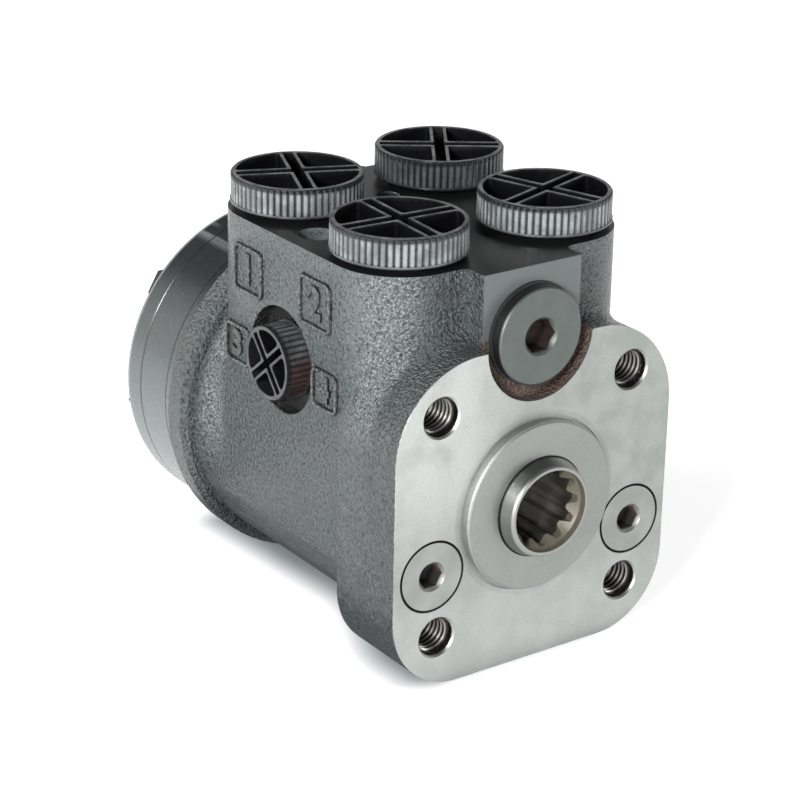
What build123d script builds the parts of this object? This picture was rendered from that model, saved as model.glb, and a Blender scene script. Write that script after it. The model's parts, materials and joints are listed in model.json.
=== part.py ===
from build123d import *
import math
import os

# Orbital steering unit: a cast housing with its control valve, gear set, ports and small valves.
# Frame: origin at the centre of the column mounting face, X right, Y into the unit, Z up.
# All sizes are millimetres and degrees.

# Fits and clearances
running_gap = 0.04
close_gap = 0.02
seat_gap = 0.05
free_gap = 0.3

# Mounting flange at the front of the housing
flange_half_width = 42.3
flange_half_height = 42.6
flange_depth = 26.0
flange_top_corner = 24.0
flange_bottom_corner = 20.0
flange_rear_edge = 1.6
column_hole_spacing = 58.3
column_hole_radius = 5.0
column_hole_depth = 18.0
hole_mouth_chamfer = 0.5
boss_radius = 22.2
boss_height = 2.5
boss_chamfer = 0.5
boss_groove_width = 0.8
boss_groove_depth = 0.4

# Housing body, port block and rear flange
body_half_width = 40.0
body_radius = 43.5
block_corner = 17.75
block_top = 61.0
pad_half_width = 14.7
pad_front = 4.0
pad_fillet = 2.5
bulge_radius = 12.0
rear_face = 98.5
rear_flange_lip = 2.6
rear_flange_thickness = 7.5
rear_flange_edge = 1.5
rear_cone_length = 8.0
rear_cone_rise = 3.5

# Ports in the top face, and the passages below them
port_front_y = 28.5
port_spacing_y = 45.0
port_radius = 10.5
port_depth = 16.0
gallery_radius = 4.5
gallery_floor = 10.0
annulus_depth = 2.0
annulus_width = 8.0
accessory_hole_x = 31.0
accessory_hole_y = 51.0
accessory_hole_radius = 5.0
accessory_hole_depth = 10.0

# Load sensing port in the left wall
side_port_y = 53.5
side_port_z = 28.7
side_spot_radius = 14.0
side_spot_depth = 4.2
side_port_radius = 6.58
side_port_depth = 11.5
signal_drill_radius = 2.0
signal_drill_x = 6.0

# Small gallery plug in the top face
gallery_plug_x = 2.0
gallery_plug_y = 67.8
gallery_plug_radius = 3.0
gallery_plug_length = 5.0
gallery_plug_sink = 0.6

# Spool, sleeve and their centring parts
spool_radius = 13.85
spool_rear = 92.0
nose_radius = 12.9
nose_end = -6.5
nose_rim_radius = 12.0
nose_rim_chamfer = 0.5
nose_taper_length = 3.4
sleeve_radius = 19.0
counterbore_radius = 10.8
counterbore_depth = 1.8
spline_teeth = 12
spline_pitch_radius = 9.525
spline_major_radius = 10.3
spline_minor_radius = 8.8
spline_flank_angle = 30.0
spline_lead_length = 2.8
spline_end = 13.0
spool_bore_radius = 10.4
spool_bore_start = 23.0
oil_hole_radius = 1.5
oil_holes_in_row = 6
oil_row_y = (45.0, 56.0, 67.0)
oil_groove_depth = 1.0
oil_groove_width = 2.6
cross_pin_y = 30.0
cross_pin_radius = 3.5
deflection = 8.0
spring_slot_y = 18.5
leaf_width = 6.0
leaf_thickness = 0.6
leaf_count = 4
leaf_half_length = 17.2
spring_ring_thickness = 1.2
spring_ring_width = 6.6

# Shaft seals and axial bearing
front_bore_radius = 13.3
dust_groove_radius = 16.2
dust_groove_start = -1.7
dust_groove_width = 2.4
seal_recess_radius = 16.5
seal_recess_start = 3.0
main_bore_start = 7.0
race_thickness = 1.0
race_inner_radius = 14.3
needle_radius = 1.2
needle_count = 12
cage_thickness = 1.8
needle_half_length = 1.6

# Gear set, plate, cover and their bolts
gear_outer_radius = 44.2
plate_thickness = 6.1
gear_thickness = 13.1
cover_thickness = 7.4
cover_dish_radius = 18.0
cover_dish_depth = 1.0
edge_break = 0.4
lobe_count = 7
lobe_edge = 10.7
lobe_radius = 6.5
eccentricity = 3.2
rotor_gap = 0.08
rotor_end_gap = 0.03
rotor_samples = 84
bolt_edge = 8.4
bolt_radius = 4.0
bolt_head_flats = 11.5
bolt_head_height = 3.6
bolt_reach = 16.0
washer_thickness = 0.9
washer_radius = 7.2
top_angle = 90.0
channel_circle = 24.5
channel_radius = 2.2
channel_depth = 13.0
plate_slot_edge = 3.5
plate_hole_radius = 10.5
o_ring_edge = 1.9
o_ring_section = 0.75

# Drive shaft from the cross pin to the rotor
drive_head_radius = 8.8
drive_head_front = 24.5
drive_head_rear = 37.0
drive_body_radius = 6.5
drive_slot_gap = 0.45
drive_tooth_count = 12
drive_tooth_length = 7.0
drive_tooth_outer = 9.9
drive_tooth_root = 8.0
drive_tooth_width = 2.2
drive_mesh_gap = 0.45
spacer_radius = 8.0
spacer_thickness = 2.2

# Relief valve behind the large hex plug
relief_z = 43.9
plug_recess_z = 43.4
plug_recess_radius = 16.0
plug_head_radius = 12.56
plug_shank_radius = 10.3
plug_shank_length = 10.5
plug_washer_thickness = 1.0
plug_washer_radius = 13.0
plug_hex_flats = 8.0
plug_hex_depth = 5.5
plug_hex_mouth_radius = 5.0
plug_chamfer = 0.5
relief_bore_radius = 7.0
relief_bore_end = 60.0
relief_drill_radius = 2.5
relief_seat_front = 33.0
relief_seat_length = 5.0
relief_seat_hole = 3.0
poppet_stem_length = 8.0
poppet_guide_radius = 5.4
relief_drain_y = 53.0
relief_spring_radius = 4.4
relief_spring_wire = 0.6
relief_spring_turns = 6

# Suction valves behind the two flush plugs
suction_x = 31.0
suction_z = -12.15
suction_plug_radius = 9.1
suction_recess_radius = 9.42
suction_plug_length = 11.0
suction_hex_flats = 6.0
suction_hex_depth = 5.0
suction_hex_mouth_radius = 3.95
suction_bore_radius = 6.0
suction_seat_y = 30.0
suction_seat_hole = 3.2
suction_bore_end = 40.0
suction_ball_radius = 4.5
suction_inlet_y = 19.0
suction_outlet_y = 36.0
suction_drill_radius = 2.5
suction_spring_radius = 3.0
suction_spring_wire = 0.35
suction_spring_turns = 6

# Check valve under the front right port
check_bore_radius = 6.4
check_bore_depth = 17.5
check_bushing_length = 6.0
check_bushing_hole = 3.2
check_bushing_flats = 8.0
check_bushing_hex_depth = 3.0
check_ball_radius = 4.0
check_travel = 2.0
ball_stop_radius = 1.2

# Port caps
cap_height = 8.0
cap_radius = 17.0
cap_foot_radius = 17.2
cap_foot_height = 1.0
cap_rim_radius = 16.6
cap_rim_height = 0.7
cap_rim_wall = 0.9
cap_flutes = 60
cap_flute_depth = 0.45
cap_rib = 0.8
cap_channel = 2.8
cap_floor = 1.4
cap_corner = 0.9
cap_shank_length = 12.0
cap_shank_wall = 1.6
cap_thread_pitch = 1.8
cap_thread_depth = 0.7
cap_seal_thickness = 1.1
cap_seal_width = 2.6
side_cap_radius = 9.55
side_cap_foot_radius = 9.7
side_cap_rim_radius = 9.4
side_cap_height = 8.0
side_cap_flutes = 36
side_cap_flute_depth = 0.35
side_cap_rib = 0.7
side_cap_channel = 1.8
side_cap_shank_length = 9.0
side_cap_seal_thickness = 0.6
side_cap_seal_width = 1.8
cap_turns = {
    "port_cap_front_left": 86.5,
    "port_cap_front_right": 18.5,
    "port_cap_rear_left": 67.0,
    "port_cap_rear_right": 56.0,
}
side_cap_turn = 40.0

# Places worked out from the sizes above
port_rear_y = port_front_y + port_spacing_y
port_half_spacing = body_half_width - block_corner
block_front = port_front_y - block_corner
block_rear = port_rear_y + block_corner
port_floor = block_top - port_depth
main_bore_radius = sleeve_radius + running_gap
needle_y = main_bore_start + race_thickness + seat_gap + needle_radius
rear_race_y = needle_y + needle_radius + seat_gap
sleeve_front = rear_race_y + race_thickness + seat_gap
sleeve_rear = rear_face - seat_gap
channel_feed_y = rear_face - channel_depth + channel_radius
plate_rear = rear_face + plate_thickness
gear_rear = plate_rear + gear_thickness
cover_rear = gear_rear + cover_thickness
gear_middle = plate_rear + gear_thickness / 2
rear_flange_radius = gear_outer_radius + rear_flange_lip
lobe_circle = gear_outer_radius - lobe_edge
bolt_circle = gear_outer_radius - bolt_edge
o_ring_circle = gear_outer_radius - o_ring_edge
orbit_x = -eccentricity * math.cos(math.radians(top_angle))
orbit_z = -eccentricity * math.sin(math.radians(top_angle))
valley_radius = lobe_circle + 2 * eccentricity - lobe_radius + rotor_gap
plate_slot_outer = valley_radius - plate_slot_edge
drive_tilt = math.degrees(math.atan2(eccentricity, gear_middle - cross_pin_y))
plug_recess_floor = pad_front
plug_head_rear = plug_recess_floor - plug_washer_thickness
plug_bore_radius = plug_shank_radius + 2 * close_gap
plug_bore_end = plug_head_rear + plug_shank_length + 2 * edge_break
side_floor_x = -body_half_width + side_spot_depth
leaf_pack_half = leaf_count * leaf_thickness / 2 + (leaf_count - 1) * seat_gap / 2
o_ring_groove_half = o_ring_section + seat_gap
o_ring_groove_depth = 2 * o_ring_section + seat_gap
bolt_hole_radius = bolt_radius + 2 * seat_gap
spring_groove_radius = sleeve_radius - spring_ring_thickness - seat_gap
cap_base = block_top + cap_seal_thickness


def along_x(radius, start, end, y, z):
    """A round bar along X."""
    return Pos(start, y, z) * Rot(0, 90, 0) * Cylinder(
        radius, end - start, align=(Align.CENTER, Align.CENTER, Align.MIN)
    )


def along_y(radius, start, end, x=0.0, z=0.0):
    """A round bar along Y."""
    return Pos(x, start, z) * Rot(-90, 0, 0) * Cylinder(
        radius, end - start, align=(Align.CENTER, Align.CENTER, Align.MIN)
    )


def along_z(radius, start, end, x, y):
    """A round bar along Z."""
    return Pos(x, y, start) * Cylinder(
        radius, end - start, align=(Align.CENTER, Align.CENTER, Align.MIN)
    )


def ring_y(outer, inner, start, end, x=0.0, z=0.0):
    """A flat ring whose axis is along Y."""
    return along_y(outer, start, end, x, z) - along_y(inner, start - 1, end + 1, x, z)


def cone_y(start_radius, end_radius, start, end, x=0.0, z=0.0):
    """A truncated cone along Y."""
    return Pos(x, start, z) * Rot(-90, 0, 0) * Cone(
        start_radius, end_radius, end - start, align=(Align.CENTER, Align.CENTER, Align.MIN)
    )


def hex_y(flats, start, end, x=0.0, z=0.0):
    """A hexagonal bar along Y."""
    prism = extrude(RegularPolygon(flats / 2, 6, major_radius=False), end - start)
    return Pos(x, start, z) * Rot(-90, 0, 0) * prism


def block(x_range, y_range, z_range):
    """A box from its low and high values along each axis."""
    size = [high - low for low, high in (x_range, y_range, z_range)]
    middle = [(high + low) / 2 for low, high in (x_range, y_range, z_range)]
    return Pos(*middle) * Box(*size)


def turned(points):
    """A solid turned about the Y axis from (radius, y) points."""
    outline = Polyline(*[(radius, y, 0) for radius, y in points], close=True)
    return revolve(make_face(outline), axis=Axis.Y)


def around(count, radius, first=0.0):
    """Angle, x and z of places spaced evenly round the Y axis."""
    places = []
    for k in range(count):
        angle = first + k * 360 / count
        x = radius * math.cos(math.radians(angle))
        z = radius * math.sin(math.radians(angle))
        places.append((angle, x, z))
    return places


def about_y(shape, angle):
    """Turn a shape about the Y axis, from +X towards +Z."""
    return Rot(0, -angle, 0) * shape


def coil_spring(radius, wire, start, end, turns, x, z):
    """A round wire spring along Y."""
    height = end - start - 2 * wire
    path = Helix(pitch=height / turns, height=height, radius=radius)
    section = Plane(origin=path @ 0, z_dir=path % 0) * Circle(wire)
    return Pos(x, start + wire, z) * Rot(-90, 0, 0) * sweep(section, path=path, is_frenet=True)


def o_ring(circle, section, y, x=0.0, z=0.0):
    """A round section ring about an axis along Y."""
    return Pos(x, y, z) * Rot(-90, 0, 0) * Torus(circle, section)


def tooth_bars(count, root, tip, root_width, tip_width, start, end):
    """Radial teeth along Y, each a tapered bar from root to tip radius."""
    outline = Polyline(
        (root, 0, -root_width / 2),
        (tip, 0, -tip_width / 2),
        (tip, 0, tip_width / 2),
        (root, 0, root_width / 2),
        close=True,
    )
    bar = Pos(0, start, 0) * extrude(make_face(outline), amount=end - start, dir=(0, 1, 0))
    return [about_y(bar, angle) for angle, x, z in around(count, 1.0)]


def flange_block():
    """The square mounting flange with its round corners and pilot boss."""
    outline = Plane.XZ * Rectangle(2 * flange_half_width, 2 * flange_half_height)
    outline = fillet(outline.vertices().group_by(Axis.Z)[-1], flange_top_corner)
    outline = fillet(outline.vertices().group_by(Axis.Z)[0], flange_bottom_corner)
    plate = extrude(outline, amount=flange_depth, dir=(0, 1, 0))
    plate = chamfer(plate.edges().group_by(Axis.Y)[-1], flange_rear_edge)
    groove = ring_y(boss_radius + boss_groove_width, boss_radius, 0, boss_groove_depth)
    boss = turned(
        [
            (0, boss_groove_depth),
            (boss_radius, boss_groove_depth),
            (boss_radius, boss_chamfer - boss_height),
            (boss_radius - boss_chamfer, -boss_height),
            (0, -boss_height),
        ]
    )
    return plate - groove + boss


def port_block():
    """The upper block with its rounded corners, front pad and rear bulge."""
    middle_y = (block_front + block_rear) / 2
    outline = Pos(0, middle_y) * RectangleRounded(
        2 * body_half_width, block_rear - block_front, block_corner - close_gap
    )
    pad = Pos(0, (pad_front + middle_y) / 2) * Rectangle(2 * pad_half_width, middle_y - pad_front)
    bulge = Pos(0, rear_face - bulge_radius) * Circle(bulge_radius)
    outline = outline + pad + bulge
    notches = [
        v
        for v in outline.vertices()
        if abs(abs(v.X) - pad_half_width) < close_gap and v.Y > pad_front + pad_fillet
    ]
    outline = fillet(notches, pad_fillet)
    return extrude(outline, amount=block_top)


def lower_body():
    """The round lower body with flat sides, and the rear flange."""
    barrel = along_y(body_radius, block_front, rear_face - edge_break)
    sides = block(
        (-body_half_width, body_half_width), (0, rear_face), (-body_radius, body_radius)
    )
    flange_front = rear_face - rear_flange_thickness
    flange = turned(
        [
            (0, flange_front - rear_cone_length),
            (body_half_width, flange_front - rear_cone_length),
            (body_half_width + rear_cone_rise, flange_front),
            (rear_flange_radius - rear_flange_edge, flange_front),
            (rear_flange_radius, flange_front + rear_flange_edge),
            (rear_flange_radius, rear_face),
            (0, rear_face),
        ]
    )
    return (barrel & sides) + flange


def column_holes():
    """The four threaded holes for the steering column."""
    half = column_hole_spacing / 2
    holes = []
    for x in (-half, half):
        for z in (-half, half):
            holes.append(along_y(column_hole_radius, -1, column_hole_depth, x, z))
            mouth = column_hole_radius + hole_mouth_chamfer
            holes.append(cone_y(mouth, column_hole_radius, 0, hole_mouth_chamfer, x, z))
    return holes


def main_bore():
    """The bore for seals, bearing and sleeve, with its two oil annuli."""
    seal_end = main_bore_start + 1
    cuts = [
        along_y(front_bore_radius, -boss_height - 1, seal_end),
        along_y(dust_groove_radius, dust_groove_start, dust_groove_start + dust_groove_width),
        along_y(seal_recess_radius, seal_recess_start, seal_end),
        along_y(main_bore_radius, main_bore_start, rear_face + 1),
    ]
    for y in (port_front_y, port_rear_y):
        outer = main_bore_radius + annulus_depth
        cuts.append(along_y(outer, y - annulus_width / 2, y + annulus_width / 2))
    return cuts


def port_cuts():
    """The four top ports, each with a gallery down and across to the main bore."""
    cuts = []
    for side in (-1, 1):
        x = side * port_half_spacing
        for y in (port_front_y, port_rear_y):
            cuts.append(along_z(port_radius, port_floor, block_top + 1, x, y))
            cuts.append(along_z(gallery_radius, gallery_floor, port_floor + 1, x, y))
            low, high = sorted((0.0, x))
            cuts.append(along_x(gallery_radius, low, high, y, gallery_floor + gallery_radius))
        hole_x = side * accessory_hole_x
        hole_floor = block_top - accessory_hole_depth
        cuts.append(
            along_z(accessory_hole_radius, hole_floor, block_top + 1, hole_x, accessory_hole_y)
        )
    check_floor = port_floor - check_bore_depth
    cuts.append(
        along_z(
            check_bore_radius + close_gap, check_floor, port_floor + 1, port_half_spacing, port_front_y
        )
    )
    plug_floor = block_top - gallery_plug_sink - gallery_plug_length
    cuts.append(
        along_z(
            gallery_plug_radius + close_gap, plug_floor, block_top + 1, gallery_plug_x, gallery_plug_y
        )
    )
    return cuts


def side_port_cuts():
    """The load sensing port with its spot face and signal drillings."""
    port_end = side_floor_x + side_port_depth
    return [
        along_x(side_spot_radius, -body_half_width - 1, side_floor_x, side_port_y, side_port_z),
        along_x(side_port_radius, side_floor_x - 1, port_end, side_port_y, side_port_z),
        along_x(signal_drill_radius, port_end - 1, -signal_drill_x, side_port_y, side_port_z),
        along_z(
            signal_drill_radius, main_bore_radius - 3, side_port_z, -signal_drill_x, side_port_y
        ),
    ]


def relief_cuts():
    """The recess, thread and bore of the relief valve with its drillings."""
    return [
        along_y(plug_recess_radius, -1, plug_recess_floor, 0, plug_recess_z),
        along_y(plug_bore_radius, plug_recess_floor - 1, plug_bore_end, 0, relief_z),
        along_y(relief_bore_radius, plug_bore_end - 1, relief_bore_end, 0, relief_z),
        along_x(relief_drill_radius, 0, port_half_spacing, port_front_y, relief_z),
        along_z(relief_drill_radius, main_bore_radius - 3, relief_z, 0, relief_drain_y),
    ]


def suction_cuts():
    """The two suction valve bores with their drillings to the main bore."""
    cuts = []
    for side in (-1, 1):
        x = side * suction_x
        recess_end = suction_plug_length + 2 * seat_gap
        cuts.append(along_y(suction_recess_radius, -1, recess_end, x, suction_z))
        cuts.append(along_y(suction_bore_radius, recess_end - 1, suction_seat_y, x, suction_z))
        cuts.append(along_y(suction_seat_hole, suction_seat_y - 1, suction_bore_end, x, suction_z))
        inner = side * (main_bore_radius - 6)
        low, high = sorted((inner, x))
        cuts.append(along_x(suction_drill_radius, low, high, suction_inlet_y, suction_z))
        cuts.append(along_x(suction_drill_radius, low, high, suction_outlet_y, suction_z))
    return cuts


def rear_cuts():
    """Bolt holes, rotor channels and the seal groove in the rear face."""
    cuts = []
    for angle, x, z in around(lobe_count, bolt_circle, top_angle):
        cuts.append(along_y(bolt_hole_radius, rear_face - bolt_reach - 1, rear_face + 1, x, z))
    feed = block(
        (main_bore_radius - 1, channel_circle),
        (channel_feed_y - channel_radius, channel_feed_y + channel_radius),
        (-channel_radius, channel_radius),
    )
    for angle, x, z in around(lobe_count, channel_circle, top_angle + 180 / lobe_count):
        cuts.append(along_y(channel_radius, rear_face - channel_depth, rear_face + 1, x, z))
        cuts.append(about_y(feed, angle))
    cuts.append(o_ring_groove(rear_face))
    return cuts


def o_ring_groove(face_y):
    """A face groove for a joint seal, open towards +Y."""
    return ring_y(
        o_ring_circle + o_ring_groove_half,
        o_ring_circle - o_ring_groove_half,
        face_y - o_ring_groove_depth,
        face_y,
    )


def make_housing():
    """The single casting that holds everything."""
    body = flange_block() + port_block() + lower_body()
    groups = [
        column_holes(),
        main_bore(),
        port_cuts(),
        side_port_cuts(),
        relief_cuts(),
        suction_cuts(),
        rear_cuts(),
    ]
    for group in groups:
        for cut in group:
            body = body - cut
    return body


def make_front_seals():
    """Dust seal in the boss and shaft seal behind it."""
    dust = ring_y(
        dust_groove_radius - seat_gap,
        nose_radius + seat_gap,
        dust_groove_start + seat_gap,
        dust_groove_start + dust_groove_width - seat_gap,
    )
    shaft = ring_y(
        seal_recess_radius - seat_gap,
        nose_radius + seat_gap,
        seal_recess_start + seat_gap,
        main_bore_start - seat_gap,
    )
    return dust, shaft


def make_bearing():
    """Axial needle bearing: two races, a cage and radial needles."""
    outer = main_bore_radius - free_gap
    front = ring_y(outer, race_inner_radius, main_bore_start, main_bore_start + race_thickness)
    rear = ring_y(outer, race_inner_radius, rear_race_y, rear_race_y + race_thickness)
    middle = (outer + race_inner_radius) / 2
    reach = needle_half_length
    cage = ring_y(
        outer - seat_gap,
        race_inner_radius,
        needle_y - cage_thickness / 2,
        needle_y + cage_thickness / 2,
    )
    pocket = block(
        (middle - reach - seat_gap, middle + reach + seat_gap),
        (needle_y - 2 * needle_radius, needle_y + 2 * needle_radius),
        (-needle_radius - seat_gap, needle_radius + seat_gap),
    )
    needle = along_x(needle_radius, middle - reach, middle + reach, needle_y, 0)
    needles = []
    for angle, x, z in around(needle_count, 1.0):
        cage = cage - about_y(pocket, angle)
        needles.append(about_y(needle, angle))
    return front, cage, needles, rear


def make_sleeve():
    """The outer rotary valve member."""
    body = ring_y(sleeve_radius, spool_radius + running_gap, sleeve_front, sleeve_rear)
    ring_half = spring_ring_width / 2 + seat_gap
    body = body - ring_y(
        sleeve_radius + 1, spring_groove_radius, spring_slot_y - ring_half, spring_slot_y + ring_half
    )
    body = body - along_x(
        cross_pin_radius + close_gap, -sleeve_radius - 1, sleeve_radius + 1, cross_pin_y, 0
    )
    body = body - leaf_slot(leaf_pack_half + seat_gap)
    for row, y in enumerate(oil_row_y):
        first = row * 180 / oil_holes_in_row
        hole = along_x(oil_hole_radius, spool_radius - 1, sleeve_radius + 1, y, 0)
        for angle, x, z in around(oil_holes_in_row, 1.0, first):
            body = body - about_y(hole, angle)
    feed = along_x(channel_radius, spool_radius - 1, sleeve_radius + 1, channel_feed_y, 0)
    for angle, x, z in around(lobe_count - 1, 1.0, top_angle):
        body = body - about_y(feed, angle)
    return body


def leaf_slot(half_height):
    """The slot that the leaf springs lie in, right across the valve."""
    half_width = leaf_width / 2 + seat_gap
    return block(
        (-sleeve_radius - 1, sleeve_radius + 1),
        (spring_slot_y - half_width, spring_slot_y + half_width),
        (-half_height, half_height),
    )


def make_spool():
    """The inner rotary valve member with its splined nose."""
    taper_start = nose_end + nose_taper_length
    body = turned(
        [
            (0, nose_end),
            (nose_rim_radius - nose_rim_chamfer, nose_end),
            (nose_rim_radius, nose_end + nose_rim_chamfer),
            (nose_radius, taper_start),
            (nose_radius, sleeve_front),
            (spool_radius, sleeve_front),
            (spool_radius, spool_rear),
            (0, spool_rear),
        ]
    )
    lead_start = nose_end + counterbore_depth
    lead_end = lead_start + spline_lead_length
    body = body - along_y(counterbore_radius, nose_end - 1, lead_start)
    body = body - cone_y(counterbore_radius, spline_minor_radius, lead_start, lead_end)
    body = body - along_y(spline_minor_radius, nose_end - 1, spline_end)
    slope = math.tan(math.radians(spline_flank_angle))
    pitch_width = math.pi * spline_pitch_radius / spline_teeth
    inner = spline_minor_radius - edge_break
    root_width = pitch_width + 2 * slope * (spline_pitch_radius - inner)
    tip_width = pitch_width - 2 * slope * (spline_major_radius - spline_pitch_radius)
    spaces = tooth_bars(
        spline_teeth, inner, spline_major_radius, root_width, tip_width, nose_end, spline_end
    )
    for space in spaces:
        body = body - space
    body = body - along_y(spool_bore_radius, spool_bore_start, spool_rear + 1)
    body = body - leaf_slot(leaf_pack_half + seat_gap)
    swing = spool_radius * math.sin(math.radians(deflection))
    pin_half = cross_pin_radius + swing + free_gap
    body = body - block(
        (-spool_radius - 1, spool_radius + 1),
        (cross_pin_y - cross_pin_radius - free_gap, cross_pin_y + cross_pin_radius + free_gap),
        (-pin_half, pin_half),
    )
    for row, y in enumerate(oil_row_y):
        first = row * 180 / oil_holes_in_row
        hole = along_x(oil_hole_radius, spool_bore_radius - 1, spool_radius + 1, y, 0)
        for angle, x, z in around(oil_holes_in_row, 1.0, first):
            if row != 1:
                body = body - about_y(hole, angle)
    groove = block(
        (spool_radius - oil_groove_depth, spool_radius + 1),
        (oil_row_y[1], channel_feed_y),
        (-oil_groove_width / 2, oil_groove_width / 2),
    )
    for angle, x, z in around(oil_holes_in_row, 1.0, 90.0 / oil_holes_in_row):
        body = body - about_y(groove, angle)
    return body


def make_centring():
    """Cross pin, leaf spring pack and the ring that holds the springs."""
    pin_reach = math.sqrt(sleeve_radius**2 - cross_pin_radius**2) - seat_gap
    pin = along_x(cross_pin_radius, -pin_reach, pin_reach, cross_pin_y, 0)
    leaves = []
    pitch = leaf_thickness + seat_gap
    for k in range(leaf_count):
        z = (k - (leaf_count - 1) / 2) * pitch
        leaves.append(
            block(
                (-leaf_half_length, leaf_half_length),
                (spring_slot_y - leaf_width / 2, spring_slot_y + leaf_width / 2),
                (z - leaf_thickness / 2, z + leaf_thickness / 2),
            )
        )
    half = spring_ring_width / 2
    ring = ring_y(
        sleeve_radius - close_gap,
        spring_groove_radius + seat_gap,
        spring_slot_y - half,
        spring_slot_y + half,
    )
    return pin, leaves, ring


def make_drive_shaft():
    """The cardan shaft, built straight and then tilted onto the rotor's centre."""
    tooth_start = gear_middle - drive_tooth_length / 2
    tooth_end = gear_middle + drive_tooth_length / 2
    neck = drive_head_rear + 3
    shoulder = tooth_start - 2
    body = turned(
        [
            (0, drive_head_front),
            (drive_head_radius - 1, drive_head_front),
            (drive_head_radius, drive_head_front + 1),
            (drive_head_radius, drive_head_rear),
            (drive_body_radius, neck),
            (drive_body_radius, shoulder),
            (drive_tooth_root, tooth_start),
            (drive_tooth_root, tooth_end),
            (0, tooth_end),
        ]
    )
    teeth = tooth_bars(
        drive_tooth_count,
        drive_tooth_root - edge_break,
        drive_tooth_outer,
        drive_tooth_width + edge_break,
        drive_tooth_width - edge_break,
        tooth_start,
        tooth_end,
    )
    for tooth in teeth:
        body = body + tooth
    half = cross_pin_radius + drive_slot_gap
    body = body - block(
        (-drive_head_radius - 1, drive_head_radius + 1),
        (drive_head_front - 1, cross_pin_y + half),
        (-half, half),
    )
    straight = Pos(0, -cross_pin_y, 0) * body
    return Pos(0, cross_pin_y, 0) * Rot(-drive_tilt, 0, 0) * straight


def rotor_outline(offset):
    """Points of the rotor's flank: the lobe centres' path, drawn in by the lobe radius."""
    points = []
    teeth = lobe_count
    for k in range(rotor_samples):
        t = 2 * math.pi * k / rotor_samples
        px = lobe_circle * math.cos(t) + eccentricity * math.cos(teeth * t)
        pz = lobe_circle * math.sin(t) + eccentricity * math.sin(teeth * t)
        dx = -lobe_circle * math.sin(t) - teeth * eccentricity * math.sin(teeth * t)
        dz = lobe_circle * math.cos(t) + teeth * eccentricity * math.cos(teeth * t)
        length = math.hypot(dx, dz)
        points.append((px - dz / length * offset, 0, pz + dx / length * offset))
    return points


def make_rotor():
    """The six-lobed rotor with its splined bore, in mesh with the gear ring."""
    start = plate_rear + rotor_end_gap
    outline = Spline(*rotor_outline(lobe_radius + rotor_gap), periodic=True)
    thickness = gear_thickness - 2 * rotor_end_gap
    body = extrude(make_face(outline), amount=thickness, dir=(0, 1, 0))
    body = Pos(0, start, 0) * about_y(body, top_angle)
    bore = drive_tooth_root + drive_mesh_gap
    body = body - along_y(bore, start - 1, start + thickness + 1)
    spaces = tooth_bars(
        drive_tooth_count,
        bore - edge_break,
        drive_tooth_outer + drive_mesh_gap,
        drive_tooth_width + edge_break + 2 * drive_mesh_gap,
        drive_tooth_width - edge_break + 2 * drive_mesh_gap,
        start - 1,
        start + thickness + 1,
    )
    for space in spaces:
        body = body - space
    return Pos(orbit_x, 0, orbit_z) * body


def make_gear_ring():
    """The outer gear with its seven lobes at the bolts."""
    body = ring_y(gear_outer_radius, valley_radius, plate_rear, gear_rear)
    for angle, x, z in around(lobe_count, lobe_circle, top_angle):
        body = body + along_y(lobe_radius, plate_rear, gear_rear, x, z)
    return drill_bolt_holes(body, plate_rear, gear_rear)


def drill_bolt_holes(body, start, end):
    """Clearance holes for the cover bolts."""
    for angle, x, z in around(lobe_count, bolt_circle, top_angle):
        body = body - along_y(bolt_hole_radius, start - 1, end + 1, x, z)
    return body


def edged_disc(start, end):
    """A disc of the gear set's diameter with its edges broken."""
    rim = gear_outer_radius
    return turned(
        [
            (0, start),
            (rim - edge_break, start),
            (rim, start + edge_break),
            (rim, end - edge_break),
            (rim - edge_break, end),
            (0, end),
        ]
    )


def make_plate():
    """The distributor plate between housing and gear set."""
    body = edged_disc(rear_face, plate_rear)
    body = body - along_y(plate_hole_radius, rear_face - 1, plate_rear + 1)
    slot = along_y(channel_radius, rear_face - 1, plate_rear + 1, channel_circle)
    slot = slot + along_y(channel_radius, rear_face - 1, plate_rear + 1, plate_slot_outer)
    slot = slot + block(
        sorted((channel_circle, plate_slot_outer)),
        (rear_face - 1, plate_rear + 1),
        (-channel_radius, channel_radius),
    )
    for angle, x, z in around(lobe_count, 1.0, top_angle + 180 / lobe_count):
        body = body - about_y(slot, angle)
    body = body - o_ring_groove(plate_rear)
    return drill_bolt_holes(body, rear_face, plate_rear)


def make_cover():
    """The end cover with its shallow dish."""
    body = edged_disc(gear_rear, cover_rear)
    body = body - along_y(cover_dish_radius, cover_rear - cover_dish_depth, cover_rear + 1)
    groove = ring_y(
        o_ring_circle + o_ring_groove_half,
        o_ring_circle - o_ring_groove_half,
        gear_rear,
        gear_rear + o_ring_groove_depth,
    )
    return drill_bolt_holes(body - groove, gear_rear, cover_rear)


def make_bolts():
    """Seven cover bolts and their washers."""
    bolts = []
    washers = []
    head_start = cover_rear + washer_thickness
    for angle, x, z in around(lobe_count, bolt_circle, top_angle):
        shank = along_y(bolt_radius, rear_face - bolt_reach, head_start, x, z)
        head = hex_y(bolt_head_flats, head_start, head_start + bolt_head_height, x, z)
        bolts.append(shank + head)
        washers.append(ring_y(washer_radius, bolt_hole_radius, cover_rear, head_start, x, z))
    return bolts, washers


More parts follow.
